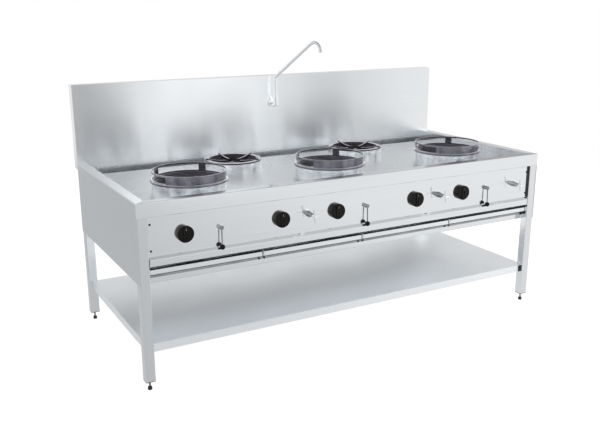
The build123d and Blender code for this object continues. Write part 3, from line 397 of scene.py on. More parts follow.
@dataclass(frozen=True)
class FinishRack:
    """Every finish on the range, by the name of what wears it."""

    # The sheets are one stainless steel; their tones differ as painted light, set to how bright each face
    # shows, and the shelf and the inner sheets are lifted most against the shade under the worktop.
    side: BrushedSteel = BrushedSteel(
        "side_sheet", GrainRun.UPRIGHT, tone=0.72, smooth=0.16, rough=0.24, glancing=0.9)
    front: BrushedSteel = BrushedSteel(
        "front_sheet", GrainRun.ACROSS, tone=0.8, smooth=0.09, rough=0.16, depth=0.02, glancing=0.5)
    top: BrushedSteel = BrushedSteel(
        "worktop_sheet", GrainRun.ACROSS, tone=0.72, smooth=0.24, rough=0.32, glancing=0.58)
    # Painted light: the shelf's tone is lifted against the shade under the worktop.
    shelf: BrushedSteel = BrushedSteel(
        "shelf_sheet", GrainRun.ACROSS, tone=0.95, smooth=0.32, rough=0.42)
    splash: BrushedSteel = BrushedSteel(
        "splashback_sheet", GrainRun.ACROSS, tone=0.84, smooth=0.18, rough=0.22, depth=0.012, streaking=1.0)
    legs: BrushedSteel = BrushedSteel(
        "leg_tube", GrainRun.UPRIGHT, tone=0.74, smooth=0.14, rough=0.2)
    # Painted light: the inner sheets' tone is lifted against the shade that they sit in.
    hidden: BrushedSteel = BrushedSteel(
        "inner_sheet", GrainRun.ACROSS, tone=0.88, smooth=0.35, rough=0.48)
    collar: BrushedSteel = BrushedSteel(
        "polished_collar", GrainRun.ROUND, tone=0.86, smooth=0.18, rough=0.26, depth=0.008)
    # The bright tops of the rings and the pot supports are rubbed wear and a painted highlight.
    ring: Skin = Skin(
        "heat_darkened_ring", (0.19, 0.187, 0.215), (0.27, 0.265, 0.295), 0.95, 0.16, 0.26, 300.0, 0.1,
        rubbed_highlight=(0.66, 0.66, 0.69), rubbed_highlight_level=0.8555, rubbed_highlight_fade=0.002, rubbed_highlight_upward=0.3)
    iron: Skin = Skin(
        "cast_iron", (0.028, 0.022, 0.032), (0.06, 0.05, 0.066), 0.55, 0.36, 0.55, 260.0, 0.4,
        rubbed_highlight=(0.5, 0.5, 0.54), rubbed_highlight_level=0.842, rubbed_highlight_fade=0.004, rubbed_highlight_upward=0.55)
    burner: Skin = Skin(
        "burner_iron", (0.03, 0.027, 0.03), (0.075, 0.066, 0.072), 0.5, 0.45, 0.65, 260.0, 0.5)
    bowl: Skin = Skin(
        "burnt_bowl", (0.03, 0.026, 0.034), (0.07, 0.06, 0.07), 0.7, 0.4, 0.55, 120.0, 0.3)
    chrome: Skin = Skin(
        "chrome_plate", (0.78, 0.79, 0.8), (0.84, 0.85, 0.86), 1.0, 0.02, 0.05, 500.0, 0.004)
    plastic: Skin = Skin(
        "black_plastic", (0.004, 0.0034, 0.003), (0.008, 0.0068, 0.006), 0.0, 0.12, 0.2, 900.0, 0.02,
        specular=0.16)
    rubber: Skin = Skin(
        "black_insert", (0.014, 0.014, 0.015), (0.026, 0.025, 0.026), 0.0, 0.4, 0.55, 700.0, 0.15)
    # Painted highlight: the lighter colour on the grip bar's side faces stands for their lit sheen.
    grip_side: Skin = Skin(
        "knob_grip_side", (0.05, 0.038, 0.03), (0.09, 0.07, 0.055), 0.0, 0.25, 0.35, 900.0, 0.05)
    mark: Skin = Skin(
        "index_mark", (0.55, 0.55, 0.54), (0.66, 0.66, 0.65), 0.0, 0.35, 0.45, 900.0, 0.05)
    shadowed: Skin = Skin(
        "shadowed_chrome", (0.12, 0.12, 0.125), (0.5, 0.5, 0.51), 1.0, 0.04, 0.1, 500.0, 0.01)
    slide: Skin = Skin(
        "slide_bar_steel", (0.3, 0.3, 0.31), (0.4, 0.4, 0.41), 1.0, 0.2, 0.3, 400.0, 0.05)
    zinc: Skin = Skin(
        "zinc_plate", (0.3, 0.3, 0.31), (0.44, 0.44, 0.45), 0.9, 0.25, 0.4, 400.0, 0.1)
    dark_screw: Skin = Skin(
        "dark_screw", (0.045, 0.043, 0.042), (0.09, 0.085, 0.08), 0.8, 0.25, 0.38, 400.0, 0.1)
    brass: Skin = Skin(
        "valve_brass", (0.5, 0.38, 0.17), (0.62, 0.48, 0.24), 1.0, 0.3, 0.42, 300.0, 0.15)
    pipe: Skin = Skin(
        "steel_pipe", (0.32, 0.32, 0.33), (0.42, 0.42, 0.43), 0.8, 0.35, 0.5, 300.0, 0.15)

    def make_all(self) -> Materials:
        """Build every material, by finish name."""
        return {name: getattr(self, name).make() for name in self.__dataclass_fields__}


NODE_FINISHES: dict[str, tuple[str, ...]] = {
    "side": ("side_panel_left", "side_panel_right"),
    "front": ("front_rim", "control_panel", "lower_rails"),
    "top": ("worktop", "gutter"),
    "shelf": ("undershelf", "rear_panel"),
    "splash": ("splashback", "splashback_cover"),
    "legs": ("legs",),
    "hidden": ("splashback_posts", "tray_runners", "burner_rails", "drain_outlet",
               "drip_tray_left", "drip_tray_middle_left", "drip_tray_middle_right", "drip_tray_right"),
    "collar": ("wok_collars", "pot_collars", "strainer_basket"),
    "ring": ("wok_ring_left", "wok_ring_middle", "wok_ring_right"),
    "iron": ("pot_support_left", "pot_support_right"),
    "burner": ("wok_burners", "pot_burners"),
    "bowl": ("wok_bowls", "pot_bowls"),
    "chrome": ("cross_handle_left", "cross_handle_middle", "cross_handle_right", "faucet_body", "spout_nut",
               "spout"),
    "shadowed": ("tap_bodies", "lever_left", "lever_middle", "lever_right"),
    "dark_screw": ("panel_screws",),
    "plastic": ("knob_left", "knob_pot_left", "knob_middle", "knob_pot_right", "knob_right",
                "lever_ball_left", "lever_ball_middle", "lever_ball_right"),
    "rubber": ("leg_inserts", "foot_front_left", "foot_front_right", "foot_rear_left", "foot_rear_right"),
    "brass": ("gas_valves", "lever_valves"),
    "pipe": ("gas_manifold", "water_pipes"),
}


def dress_frame(materials: Materials) -> None:
    """Give every carried-over node its finish.

    Args:
        materials: the built materials, by finish name.
    """
    for finish_name, node_names in NODE_FINISHES.items():
        for node_name in node_names:
            dress(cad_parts[node_name], materials[finish_name])
        log.info("finish %s on %d nodes", finish_name, len(node_names))


# ---------------------------------------------------------------- modelling by hand


def pick_only(piece: bpy.types.Object) -> None:
    """Select one object alone and make it the active one."""
    bpy.ops.object.select_all(action="DESELECT")
    piece.select_set(True)
    bpy.context.view_layer.objects.active = piece


def settle(piece: bpy.types.Object, name: str) -> bpy.types.Object:
    """Name a new primitive and put its place into its mesh.

    Args:
        piece: the primitive, as it was added.
        name: the piece's name.

    Returns:
        The same object, now at the origin.
    """
    call_it(piece, name)
    pick_only(piece)
    bpy.ops.object.transform_apply(location=True, rotation=True, scale=True)
    return piece


def start_round(name: str, radius: float, depth: float, middle: Point, facing: Point,
                sides: int = 64) -> bpy.types.Object:
    """Add a cylinder along a direction.

    Args:
        name: the piece's name.
        radius: its radius.
        depth: its length.
        middle: its centre.
        facing: the direction of its axis.
        sides: how many sides it has.

    Returns:
        The new object, with its place in its mesh.
    """
    turn = Vector(UP).rotation_difference(Vector(facing)).to_euler()
    bpy.ops.object.select_all(action="DESELECT")
    bpy.ops.mesh.primitive_cylinder_add(vertices=sides, radius=radius, depth=depth,
                                        location=middle, rotation=turn)
    return settle(bpy.context.object, name)


def start_block(name: str, size: Point, middle: Point) -> bpy.types.Object:
    """Add a box.

    Args:
        name: the piece's name.
        size: its size along X, Y and Z.
        middle: its centre.

    Returns:
        The new object, with its place in its mesh.
    """
    bpy.ops.object.select_all(action="DESELECT")
    bpy.ops.mesh.primitive_cube_add(size=1, location=middle, scale=size)
    return settle(bpy.context.object, name)


@contextmanager
def faces_of(piece: bpy.types.Object, wanted: Callable[[bpy.types.MeshPolygon], bool]) -> Iterator[None]:
    """Open a piece in edit mode with the faces that pass a test selected.

    Args:
        piece: the piece to edit.
        wanted: the test on a face.
    """
    pick_only(piece)
    bpy.ops.object.mode_set(mode="EDIT")
    bpy.ops.mesh.select_mode(type="FACE")
    bpy.ops.mesh.select_all(action="DESELECT")
    bpy.ops.object.mode_set(mode="OBJECT")
    for face in piece.data.polygons:
        face.select = wanted(face)
    bpy.ops.object.mode_set(mode="EDIT")
    yield
    bpy.ops.object.mode_set(mode="OBJECT")


@contextmanager
def edges_of(piece: bpy.types.Object, wanted: Callable[[Vector, Vector], bool]) -> Iterator[None]:
    """Open a piece in edit mode with the edges that pass a test selected.

    Args:
        piece: the piece to edit.
        wanted: the test on an edge's two ends.
    """
    pick_only(piece)
    bpy.ops.object.mode_set(mode="EDIT")
    bpy.ops.mesh.select_mode(type="EDGE")
    bpy.ops.mesh.select_all(action="DESELECT")
    bpy.ops.object.mode_set(mode="OBJECT")
    points = piece.data.vertices
    for edge in piece.data.edges:
        edge.select = wanted(points[edge.vertices[0]].co, points[edge.vertices[1]].co)
    bpy.ops.object.mode_set(mode="EDIT")
    yield
    bpy.ops.object.mode_set(mode="OBJECT")


def looks(direction: Point, least: float = 0.9) -> Callable[[bpy.types.MeshPolygon], bool]:
    """Return a test for faces that look along a direction."""
    aim = Vector(direction).normalized()
    return lambda face: face.normal.dot(aim) > least


def bevel(offset: float, segments: int) -> None:
    """Round the edges of what is selected."""
    bpy.ops.mesh.bevel(offset=offset, segments=segments, affect="EDGES")


def inset(thickness: float, depth: float = 0) -> None:
    """Inset the selected faces, and raise or sink them."""
    bpy.ops.mesh.inset(thickness=thickness, depth=depth)


def apply_all(piece: bpy.types.Object) -> None:
    """Apply every modifier of a piece, in order."""
    pick_only(piece)
    for modifier in list(piece.modifiers):
        bpy.ops.object.modifier_apply(modifier=modifier.name)


def cut_away(piece: bpy.types.Object, cutter: bpy.types.Object) -> None:
    """Cut one piece out of another and drop the cutter."""
    cut = piece.modifiers.new("cut", "BOOLEAN")
    cut.operation = "DIFFERENCE"
    cut.solver = "EXACT"
    cut.object = cutter
    apply_all(piece)
    bpy.data.objects.remove(cutter, do_unlink=True)


def join_pieces(pieces: list[bpy.types.Object]) -> bpy.types.Object:
    """Join pieces into the first one, keeping each one's materials.

    Args:
        pieces: the pieces to join.

    Returns:
        The joined piece.
    """
    bpy.ops.object.select_all(action="DESELECT")
    for piece in pieces:
        piece.select_set(True)
    bpy.context.view_layer.objects.active = pieces[0]
    bpy.ops.object.join()
    return pieces[0]


def copy_to(piece: bpy.types.Object, name: str, move: Matrix) -> bpy.types.Object:
    """Copy a finished piece with its own mesh and move the copy's mesh.

    Args:
        piece: the piece to copy.
        name: the copy's name.
        move: where the copy goes, from where the piece is.

    Returns:
        The copy.
    """
    twin = piece.copy()
    twin.data = piece.data.copy()
    call_it(twin, name)
    bpy.context.scene.collection.objects.link(twin)
    twin.data.transform(move)
    return twin


def smooth(piece: bpy.types.Object, degrees: float = 35) -> None:
    """Shade a piece smooth, keeping edges sharper than an angle."""
    pick_only(piece)
    bpy.ops.object.shade_smooth_by_angle(angle=math.radians(degrees))


def call_it(piece: bpy.types.Object, name: str) -> None:
    """Name a piece and its mesh."""
    piece.name = name
    piece.data.name = name


def dress(piece: bpy.types.Object, material: bpy.types.Material) -> None:
    """Give a piece one finish."""
    piece.data.materials.clear()
    piece.data.materials.append(material)


def middle_of(node_name: str) -> Vector:
    """Return the middle of a node's box at rest."""
    low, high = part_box(node_name)
    return (Vector(low) + Vector(high)) / 2


# ---------------------------------------------------------------- controls


@dataclass
class GasKnobs:
    """Black gas knobs: a deep round skirt with an upright grip bar that has a slit down its middle."""

    skirt_depth: float = 0.0215
    rim: float = 0.0045
    dish: float = 0.0012
    edge: float = 0.0026
    grip_width: float = 0.0165
    grip_inset: float = 0.0035
    slit_rim: float = 0.0055
    slit_depth: float = 0.0035
    crown_margin: float = 0.0012
    crown_rise: float = 0.0004
    mark_width: float = 0.0016
    mark_length: float = 0.013
    mark_depth: float = 0.0006
    mark_sink: float = 0.0002

    def turn_skirt(self, centre: Vector, radius: float, back: float) -> bpy.types.Object:
        """Shape the round skirt with its rounded rim and dished face.

        Args:
            centre: the knob's axis, at any depth.
            radius: the skirt's radius.
            back: the skirt's rear face along Y.

        Returns:
            The skirt.
        """
        middle = (centre.x, back - self.skirt_depth / 2, centre.z)
        skirt = start_round("knob_skirt", radius, self.skirt_depth, middle, FRONT, 96)
        with faces_of(skirt, looks(FRONT)):
            inset(self.rim)
            inset(self.dish, -self.dish)
        front = back - self.skirt_depth
        with edges_of(skirt, lambda a, b: all(
                abs(end.y - front) < 1e-5 and math.hypot(end.x - centre.x, end.z - centre.z) > radius - 1e-4
                for end in (a, b))):
            bevel(self.edge, 4)
        return skirt

    def shape_grip(self, centre: Vector, radius: float, front: float, seat: float) -> bpy.types.Object:
        """Shape the grip bar with rounded ends and its slit.

        Args:
            centre: the knob's axis, at any depth.
            radius: the skirt's radius.
            front: the bar's front face along Y.
            seat: where the bar meets the skirt's face.

        Returns:
            The grip bar.
        """
        rise = 2 * (radius - self.grip_inset)
        size = (self.grip_width, seat - front, rise)
        grip = start_block("knob_grip", size, (centre.x, (front + seat) / 2, centre.z))
        with edges_of(grip, lambda a, b: abs(a.y - b.y) > 0.001):
            bevel(self.grip_width * 0.42, 7)
        with faces_of(grip, looks(FRONT)):
            inset(self.crown_margin)
            bpy.ops.transform.translate(value=(0, -self.crown_rise, 0))
            inset(self.slit_rim - self.crown_margin)
            inset(self.crown_rise, -self.slit_depth)
        bpy.ops.object.select_all(action="DESELECT")
        grip.data.transform(Matrix.Translation((0, self.crown_rise, 0)))
        return grip

    def build(self, materials: Materials) -> None:
        """Model one knob and copy it to every valve."""
        names = ("left", "pot_left", "middle", "pot_right", "right")
        low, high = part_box("knob_left")
        centre = middle_of("knob_left")
        radius = (high[0] - low[0]) / 2
        skirt = self.turn_skirt(centre, radius, high[1])
        dress(skirt, materials["plastic"])
        grip = self.shape_grip(centre, radius, low[1], high[1] - self.skirt_depth + 2 * self.dish)
        dress(grip, materials["plastic"])
        grip.data.materials.append(materials["grip_side"])
        # The grip's side faces take the lighter colour, a painted highlight.
        for face in grip.data.polygons:
            face.material_index = int(abs(face.normal.x) > 0.9 and face.area > 1e-5)
        mark_low = low[1] + self.slit_depth
        mark_place = (centre.x, mark_low - self.mark_sink, centre.z + radius * 0.6)
        mark = start_block("knob_mark", (self.mark_width, self.mark_depth, self.mark_length), mark_place)
        with edges_of(mark, lambda a, b: abs(a.y - b.y) > 0.0001):
            bevel(self.mark_width * 0.4, 3)
        dress(mark, materials["mark"])
        knob = join_pieces([skirt, grip, mark])
        smooth(knob)
        for name in names:
            move = Matrix.Translation(middle_of(f"knob_{name}") - centre)
            twin = copy_to(knob, f"gas_knob_{name}_moulding", move)
            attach(twin, f"gas_knob_{name}")
            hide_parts(f"knob_{name}")
        bpy.data.objects.remove(knob, do_unlink=True)
        log.info("gas knobs: %d", len(names))


@dataclass
class PanelTrim:
    """What sits on the control panel: four cross-head screws that hold it, and at its right end a black
    strip, painted shade for the gap to the leg.
    """

    head_radius: float = 0.005
    head_rise: float = 0.0025
    recess_width: float = 0.0013
    recess_span: float = 0.0056
    recess_cut: float = 0.0034
    shank_radius: float = 0.002
    shank_length: float = 0.008
    apron_height: float = 0.065
    panel_height: float = 0.174
    end_gap: float = 0.003
    shade_strip_slack: float = 0.0006
    shade_strip_depth: float = 0.02
    shade_strip_set_back: float = 0.0005
    shade_strip_end: float = 0.001
    shade_strip_lip: float = 0.0006

    def turn_screw(self, place: Point) -> bpy.types.Object:
        """Shape one screw with a domed head and a cross recess.

        Args:
            place: the middle of the head's seat on the panel.

        Returns:
            The screw.
        """
        x, y, z = place
        middle = (x, y - self.head_rise / 2, z)
        head = start_round("screw_head", self.head_radius, self.head_rise, middle, FRONT, 40)
        with faces_of(head, looks(FRONT)):
            bevel(self.head_rise * 0.6, 5)
        for wide, high in ((self.recess_width, self.recess_span), (self.recess_span, self.recess_width)):
            cut_away(head, start_block("cutter", (wide, self.recess_cut, high), (x, y - self.head_rise, z)))
        with faces_of(head, looks(BACK)):
            inset(self.head_radius - self.shank_radius)
            bpy.ops.mesh.extrude_region_move(TRANSFORM_OT_translate={"value": (0, self.shank_length, 0)})
        return head

    def build(self, materials: Materials) -> None:
        """Model the screws and the black strip of painted shade."""
        low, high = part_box("panel_screws")
        seat = low[1] + self.head_rise
        screw = self.turn_screw((low[0] + self.head_radius, seat, low[2] + self.head_radius))
        dress(screw, materials["dark_screw"])
        smooth(screw)
        across = Vector((high[0] - low[0] - 2 * self.head_radius, 0, 0))
        upwards = Vector((0, 0, high[2] - low[2] - 2 * self.head_radius))
        moves = [Vector(), across, upwards, across + upwards]
        screws = [copy_to(screw, f"screw_{index}", Matrix.Translation(move))
                  for index, move in enumerate(moves)]
        bpy.data.objects.remove(screw, do_unlink=True)
        group = join_pieces(screws)
        call_it(group, "panel_screw_set")
        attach(group, ROOT)
        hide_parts("panel_screws")
        self.lay_shade_strip(materials["rubber"])
        log.info("panel trim: %d screws and the end seal", len(moves))

    def lay_shade_strip(self, material: bpy.types.Material) -> None:
        """Fill the gap between the panel's right end and the leg with a black strip, painted shade for the
        shadow in that gap.

        Args:
            material: the strip's finish.
        """
        low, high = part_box("control_panel")
        apron_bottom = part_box("front_rim")[1][2] - self.apron_height
        lip_top = apron_bottom - self.panel_height
        middle_y = low[1] + self.shade_strip_set_back + self.shade_strip_depth / 2
        size = (self.end_gap - self.shade_strip_slack, self.shade_strip_depth, self.panel_height - 2 * self.shade_strip_end)
        middle = (high[0] + self.end_gap / 2, middle_y, (apron_bottom + lip_top) / 2)
        # Painted shade: a black strip set where the gap lies in shadow.
        shade_strip = start_block("panel_end_shade_strip", size, middle)
        with faces_of(shade_strip, looks(FRONT)):
            inset(self.shade_strip_lip)
            inset(0.0001, -self.shade_strip_lip)
        with edges_of(shade_strip, lambda a, b: abs(a.z - b.z) > 0.1 and abs(a.y - b.y) < 1e-5 and a.y < middle_y):
            bevel(0.0003, 2)
        smooth(shade_strip)
        dress(shade_strip, material)
        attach(shade_strip, ROOT)


@dataclass
class TurnedCollars:
    """The five collars round the burners, spun from sheet with a rolled top edge."""

    wall: float = 0.0015
    seat: float = 0.014
    roll: float = 0.002
    sides: int = 160

    def spin_collar(self, middle: Vector, radius: float, foot: float, top: float) -> bpy.types.Object:
        """Shape one collar.

        Args:
            middle: the collar's axis.
            radius: its outer radius.
            foot: the height that it stands on.
            top: the height of its seat.

        Returns:
            The collar.
        """
        centre = (middle.x, middle.y, (foot + top) / 2)
        collar = start_round("collar", radius, top - foot, centre, UP, self.sides)
        with faces_of(collar, looks(DOWN)):
            bpy.ops.mesh.delete(type="FACE")
        with faces_of(collar, looks(UP)):
            inset(self.seat)
            bpy.ops.mesh.delete(type="FACE")
        outer = radius - self.roll / 2
        with edges_of(collar, lambda a, b: abs(a.z - top) < 1e-6 and abs(b.z - top) < 1e-6
                      and (a.xy - middle.xy).length > outer and (b.xy - middle.xy).length > outer):
            bevel(self.roll, 4)
        thicken = collar.modifiers.new("thicken", "SOLIDIFY")
        thicken.thickness = self.wall
        thicken.offset = -1
        apply_all(collar)
        smooth(collar)
        return collar

    def build(self, materials: Materials) -> None:
        """Model the wok collars and the pot collars."""
        rings = ("wok_ring_left", "wok_ring_middle", "wok_ring_right")
        supports = ("pot_support_left", "pot_support_right")
        for node_name, seats in (("wok_collars", rings), ("pot_collars", supports)):
            low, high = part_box(node_name)
            radius = (high[1] - low[1]) / 2
            collars = [self.spin_collar(middle_of(seat), radius, low[2], high[2]) for seat in seats]
            for collar in collars:
                dress(collar, materials["collar"])
            group = join_pieces(collars)
            call_it(group, f"turned_{node_name}")
            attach(group, ROOT)
            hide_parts(node_name)
        log.info("collars: %d turned", len(rings) + len(supports))


@dataclass
class TrayTrim:
    """What shows below the panel: black strips, the slide bar with its bolts and block, and a black block of
    painted shade in the corner gap.
    """

    strip_height: float = 0.0055
    strip_rise: float = 0.0012
    strip_lap: float = 0.004
    strip_bevel: float = 0.0004
    bar_radius: float = 0.0065
    bar_drop: float = 0.0075
    bar_reach: float = 0.0055
    block_length: float = 0.016
    bolt_radius: float = 0.0055
    bolt_rise: float = 0.004
    bolt_pitch: float = 0.026
    shade_block_width: float = 0.009
    shade_block_rise: float = 0.003
    shade_block_margin: float = 0.002
    tray_margin: float = 0.002
    leg_gap: float = 0.001

    def set_shade_block(self, half: float, material: bpy.types.Material) -> None:
        """Set a black block as painted shade in the gap where the undershelf's front skirt meets the right
        leg.

        Args:
            half: the distance from the middle to the leg's inner face.
            material: the block's finish.
        """
        low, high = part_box("undershelf")
        size = (self.shade_block_width, 2 * self.shade_block_rise, high[2] - low[2] - 2 * self.shade_block_margin)
        # Painted shade: a black block set where the gap lies in shadow.
        shade_block = start_block("skirt_gap_shade_block", size, (half - self.shade_block_width / 2, low[1], (low[2] + high[2]) / 2))
        with faces_of(shade_block, looks(FRONT)):
            inset(self.shade_block_rise * 0.3)
            inset(self.shade_block_rise * 0.1, -self.shade_block_rise * 0.3)
        smooth(shade_block)
        dress(shade_block, material)
        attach(shade_block, ROOT)

    def edge_tray(self, tray: str, material: bpy.types.Material) -> None:
        """Lay a black strip over one tray's upper front edge.

        Args:
            tray: the tray's body, which the strip rides with.
            material: the strip's finish.
        """
        low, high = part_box(f"drip_{tray}")
        width = high[0] - low[0] - 2 * self.tray_margin
        size = (width, self.strip_rise + self.strip_lap, self.strip_height)
        y = low[1] + (self.strip_lap - self.strip_rise) / 2
        z = high[2] + self.strip_rise - self.strip_height / 2
        middle = ((low[0] + high[0]) / 2, y, z)
        strip = start_block(f"edge_strip_{tray}", size, middle)
        with faces_of(strip, looks(FRONT)):
            inset(self.strip_bevel)
            inset(self.strip_bevel, self.strip_bevel)
        smooth(strip)
        dress(strip, material)
        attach(strip, tray)

    def stretch_bar(self, material: bpy.types.Material) -> tuple[float, float, float]:
        """Run the round slide bar between the legs, in front of the lower rail.

        Args:
            material: the bar's finish.

        Returns:
            The bar's half length, and its Y and Z.
        """
        rail_low, rail_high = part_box("lower_rails")
        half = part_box("control_panel")[1][0] - self.leg_gap
        y = rail_low[1] - self.bar_reach
        z = rail_high[2] - self.bar_drop
        bar = start_round("slide_bar", self.bar_radius, 2 * half, (0, y, z), (1, 0, 0), 32)
        with faces_of(bar, lambda face: abs(face.normal.x) > 0.9):
            inset(self.bar_radius * 0.2, self.bar_radius * 0.1)
        smooth(bar)
        dress(bar, material)
        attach(bar, ROOT)
        return half, y, z

    def bolt_pair(self, name: str, x: float, y: float, z: float, material: bpy.types.Material) -> None:
        """Set two dark six-sided bolts beside one tray divider.

        Args:
            name: the pair's name.
            x: the divider's place across.
            y: the front of the bar.
            z: the bar's height.
            material: the bolts' finish.
        """
        bolts = []
        for side in (-1, 1):
            place = (x + side * self.bolt_pitch / 2, y - self.bolt_rise / 2, z)
            bolt = start_round("bolt", self.bolt_radius, self.bolt_rise, place, FRONT, 6)
            with faces_of(bolt, looks(FRONT)):
                inset(self.bolt_radius * 0.25)
                inset(self.bolt_radius * 0.1, self.bolt_rise * 0.2)
            smooth(bolt)
            dress(bolt, material)
            bolts.append(bolt)
        pair = join_pieces(bolts)
        call_it(pair, name)
        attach(pair, ROOT)

    def build(self, materials: Materials) -> None:
        """Model the strips, the bar, the bolts, the end block and the black block of painted shade."""
        trays = ("tray_left", "tray_middle_left", "tray_middle_right", "tray_right")
        for tray in trays:
            self.edge_tray(tray, materials["plastic"])
        half, y, z = self.stretch_bar(materials["slide"])
        for left, right in zip(trays, trays[1:]):
            divider = (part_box(f"drip_{left}")[1][0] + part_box(f"drip_{right}")[0][0]) / 2
            seat = y - self.bar_radius * 0.8
            self.bolt_pair(f"bar_bolts_{left}", divider, seat, z, materials["dark_screw"])
        size = (self.block_length, 2.4 * self.bar_radius, 2.4 * self.bar_radius)
        block = start_block("bar_end_block", size, (half - self.block_length / 2, y, z))
        with faces_of(block, looks(FRONT)):
            inset(self.bar_radius * 0.3)
            inset(self.bar_radius * 0.1, -self.bar_radius * 0.2)
        smooth(block)
        dress(block, materials["plastic"])
        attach(block, ROOT)
        # A black block in the skirt's gap at the right leg, painted shade.
        self.set_shade_block(half + self.leg_gap, materials["plastic"])
        log.info("below the panel: %d strips, the bar and its bolts", len(trays))


# ---------------------------------------------------------------- faucet


@dataclass
class SwivelSpout:
    """The faucet's swivelling spout: an upright riser, a long rising arm and a hooked tip."""

    tube_radius: float = 0.0085
    riser_bend: float = 0.014
    crown_bend: float = 0.045
    turn: float = math.radians(-75)
    climb: float = math.radians(33.88)
    fall: float = math.radians(79.8)
    riser_top: float = 1.24
    tip_level: float = 1.39
    tip_length: float = 0.011
    tip_radius: float = 0.0092
    bore_radius: float = 0.0068
    bore_depth: float = 0.006
    tip_swell: float = 0.0008
    tip_shrink: float = 0.0004
    joint_drop: float = 0.022
    joint_height: float = 0.008
    joint_wall: float = 0.002
    plate_radius: float = 0.0285
    plate_depth: float = 0.004
    plate_level: float = 1.095
    sides: int = 40

    def __post_init__(self) -> None:
        """Take the spout's axis and its highest and lowest levels from the CAD node."""
        body_middle = middle_of("spout_nut")
        low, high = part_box("spout")
        self.axis = Vector((body_middle.x, body_middle.y, 0))
        self.foot = low[2] + 0.001
        self.crest = high[2]
        self.outward = Vector((math.cos(self.turn), math.sin(self.turn), 0))
        self.swing = Vector(UP).cross(self.outward)

    def at(self, reach: float, level: float) -> Vector:
        """Return the point at a reach from the riser's axis and a level, in the arm's upright plane."""
        return self.axis + self.outward * reach + Vector((0, 0, level))

    def run(self, reach: float, rise: float) -> None:
        """Extrude the open end along the arm's plane."""
        step = self.outward * reach + Vector((0, 0, rise))
        bpy.ops.mesh.extrude_region_move(TRANSFORM_OT_translate={"value": step})

    def bend(self, centre: Vector, angle: float, steps: int) -> None:
        """Spin the open end round a centre, from upright towards the arm's direction."""
        bpy.ops.mesh.spin(steps=steps, angle=-angle, center=centre, axis=self.swing)

    def draw_tube(self) -> bpy.types.Object:
        """Draw the whole tube from the riser's foot to its open tip.

        Returns:
            The tube.
        """
        bpy.ops.object.select_all(action="DESELECT")
        bpy.ops.mesh.primitive_circle_add(vertices=self.sides, radius=self.tube_radius,
                                          location=self.at(0, self.foot))
        tube = settle(bpy.context.object, "spout_tube")
        first_turn = math.pi / 2 - self.climb
        lead = self.riser_bend * math.tan(first_turn / 2)
        crown_level = self.crest - self.tube_radius - self.crown_bend
        start_level = crown_level + self.crown_bend * math.cos(self.climb)
        along = (start_level - self.riser_top) / math.sin(self.climb)
        start_reach = along * math.cos(self.climb)
        crown_reach = start_reach + self.crown_bend * math.sin(self.climb)
        drop_start = crown_level + self.crown_bend * math.cos(self.fall)
        drop = (drop_start - self.tip_level) / math.sin(self.fall) - self.tip_length
        heading = self.outward * math.cos(self.fall) - Vector((0, 0, math.sin(self.fall)))
        bpy.ops.object.mode_set(mode="EDIT")
        bpy.ops.mesh.select_mode(type="EDGE")
        bpy.ops.mesh.select_all(action="SELECT")
        self.run(0, self.riser_top - lead - self.foot)
        self.bend(self.at(self.riser_bend, self.riser_top - lead), first_turn, 8)
        straight = along - lead
        self.run(straight * math.cos(self.climb), straight * math.sin(self.climb))
        self.bend(self.at(crown_reach, crown_level), self.climb + self.fall, 24)
        self.advance(heading, drop)
        self.swell(self.tip_radius / self.tube_radius, heading, self.tip_swell)
        self.advance(heading, self.tip_length - self.tip_swell - self.tip_shrink)
        self.swell(self.bore_radius / self.tip_radius, heading, self.tip_shrink)
        self.advance(-heading, self.bore_depth)
        bpy.ops.mesh.edge_face_add()
        bpy.ops.object.mode_set(mode="OBJECT")
        return tube

    def advance(self, heading: Vector, distance: float) -> None:
        """Extrude the open end straight along a direction."""
        bpy.ops.mesh.extrude_region_move(TRANSFORM_OT_translate={"value": heading * distance})

    def swell(self, share: float, heading: Vector, distance: float) -> None:
        """Extrude the open end a little and change its size."""
        self.advance(heading, distance)
        bpy.ops.transform.resize(value=(share, share, share))

    def build(self, materials: Materials) -> None:
        """Model the spout with its joint ring and aerator."""
        tube = self.draw_tube()
        with faces_of(tube, lambda face: True):
            bpy.ops.mesh.remove_doubles(threshold=1e-6)
            bpy.ops.mesh.normals_make_consistent(inside=False)
        ring = start_round("spout_joint", self.tube_radius + self.joint_wall, self.joint_height,
                           self.at(0, self.riser_top - self.joint_drop), UP, 48)
        with faces_of(ring, lambda face: abs(face.normal.z) > 0.9):
            bevel(0.0012, 3)
        spout = join_pieces([tube, ring])
        call_it(spout, "swivel_spout_tube")
        smooth(spout, 50)
        dress(spout, materials["chrome"])
        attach(spout, "swivel_spout")
        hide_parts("spout")
        self.add_escutcheon(materials["chrome"])
        log.info("swivel spout and its escutcheon")

    def add_escutcheon(self, material: bpy.types.Material) -> None:
        """Lay a thin domed plate behind the faucet's wall flange.

        Args:
            material: the plate's finish.
        """
        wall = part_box("splashback")[0][1]
        middle = (self.axis.x, wall - self.plate_depth / 2, self.plate_level)
        plate = start_round("faucet_escutcheon", self.plate_radius, self.plate_depth, middle, FRONT, 72)
        with faces_of(plate, looks(FRONT)):
            inset(0.003, 0.0012)
            bevel(0.001, 2)
        smooth(plate)
        dress(plate, material)
        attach(plate, ROOT)


# ---------------------------------------------------------------- threads and welds


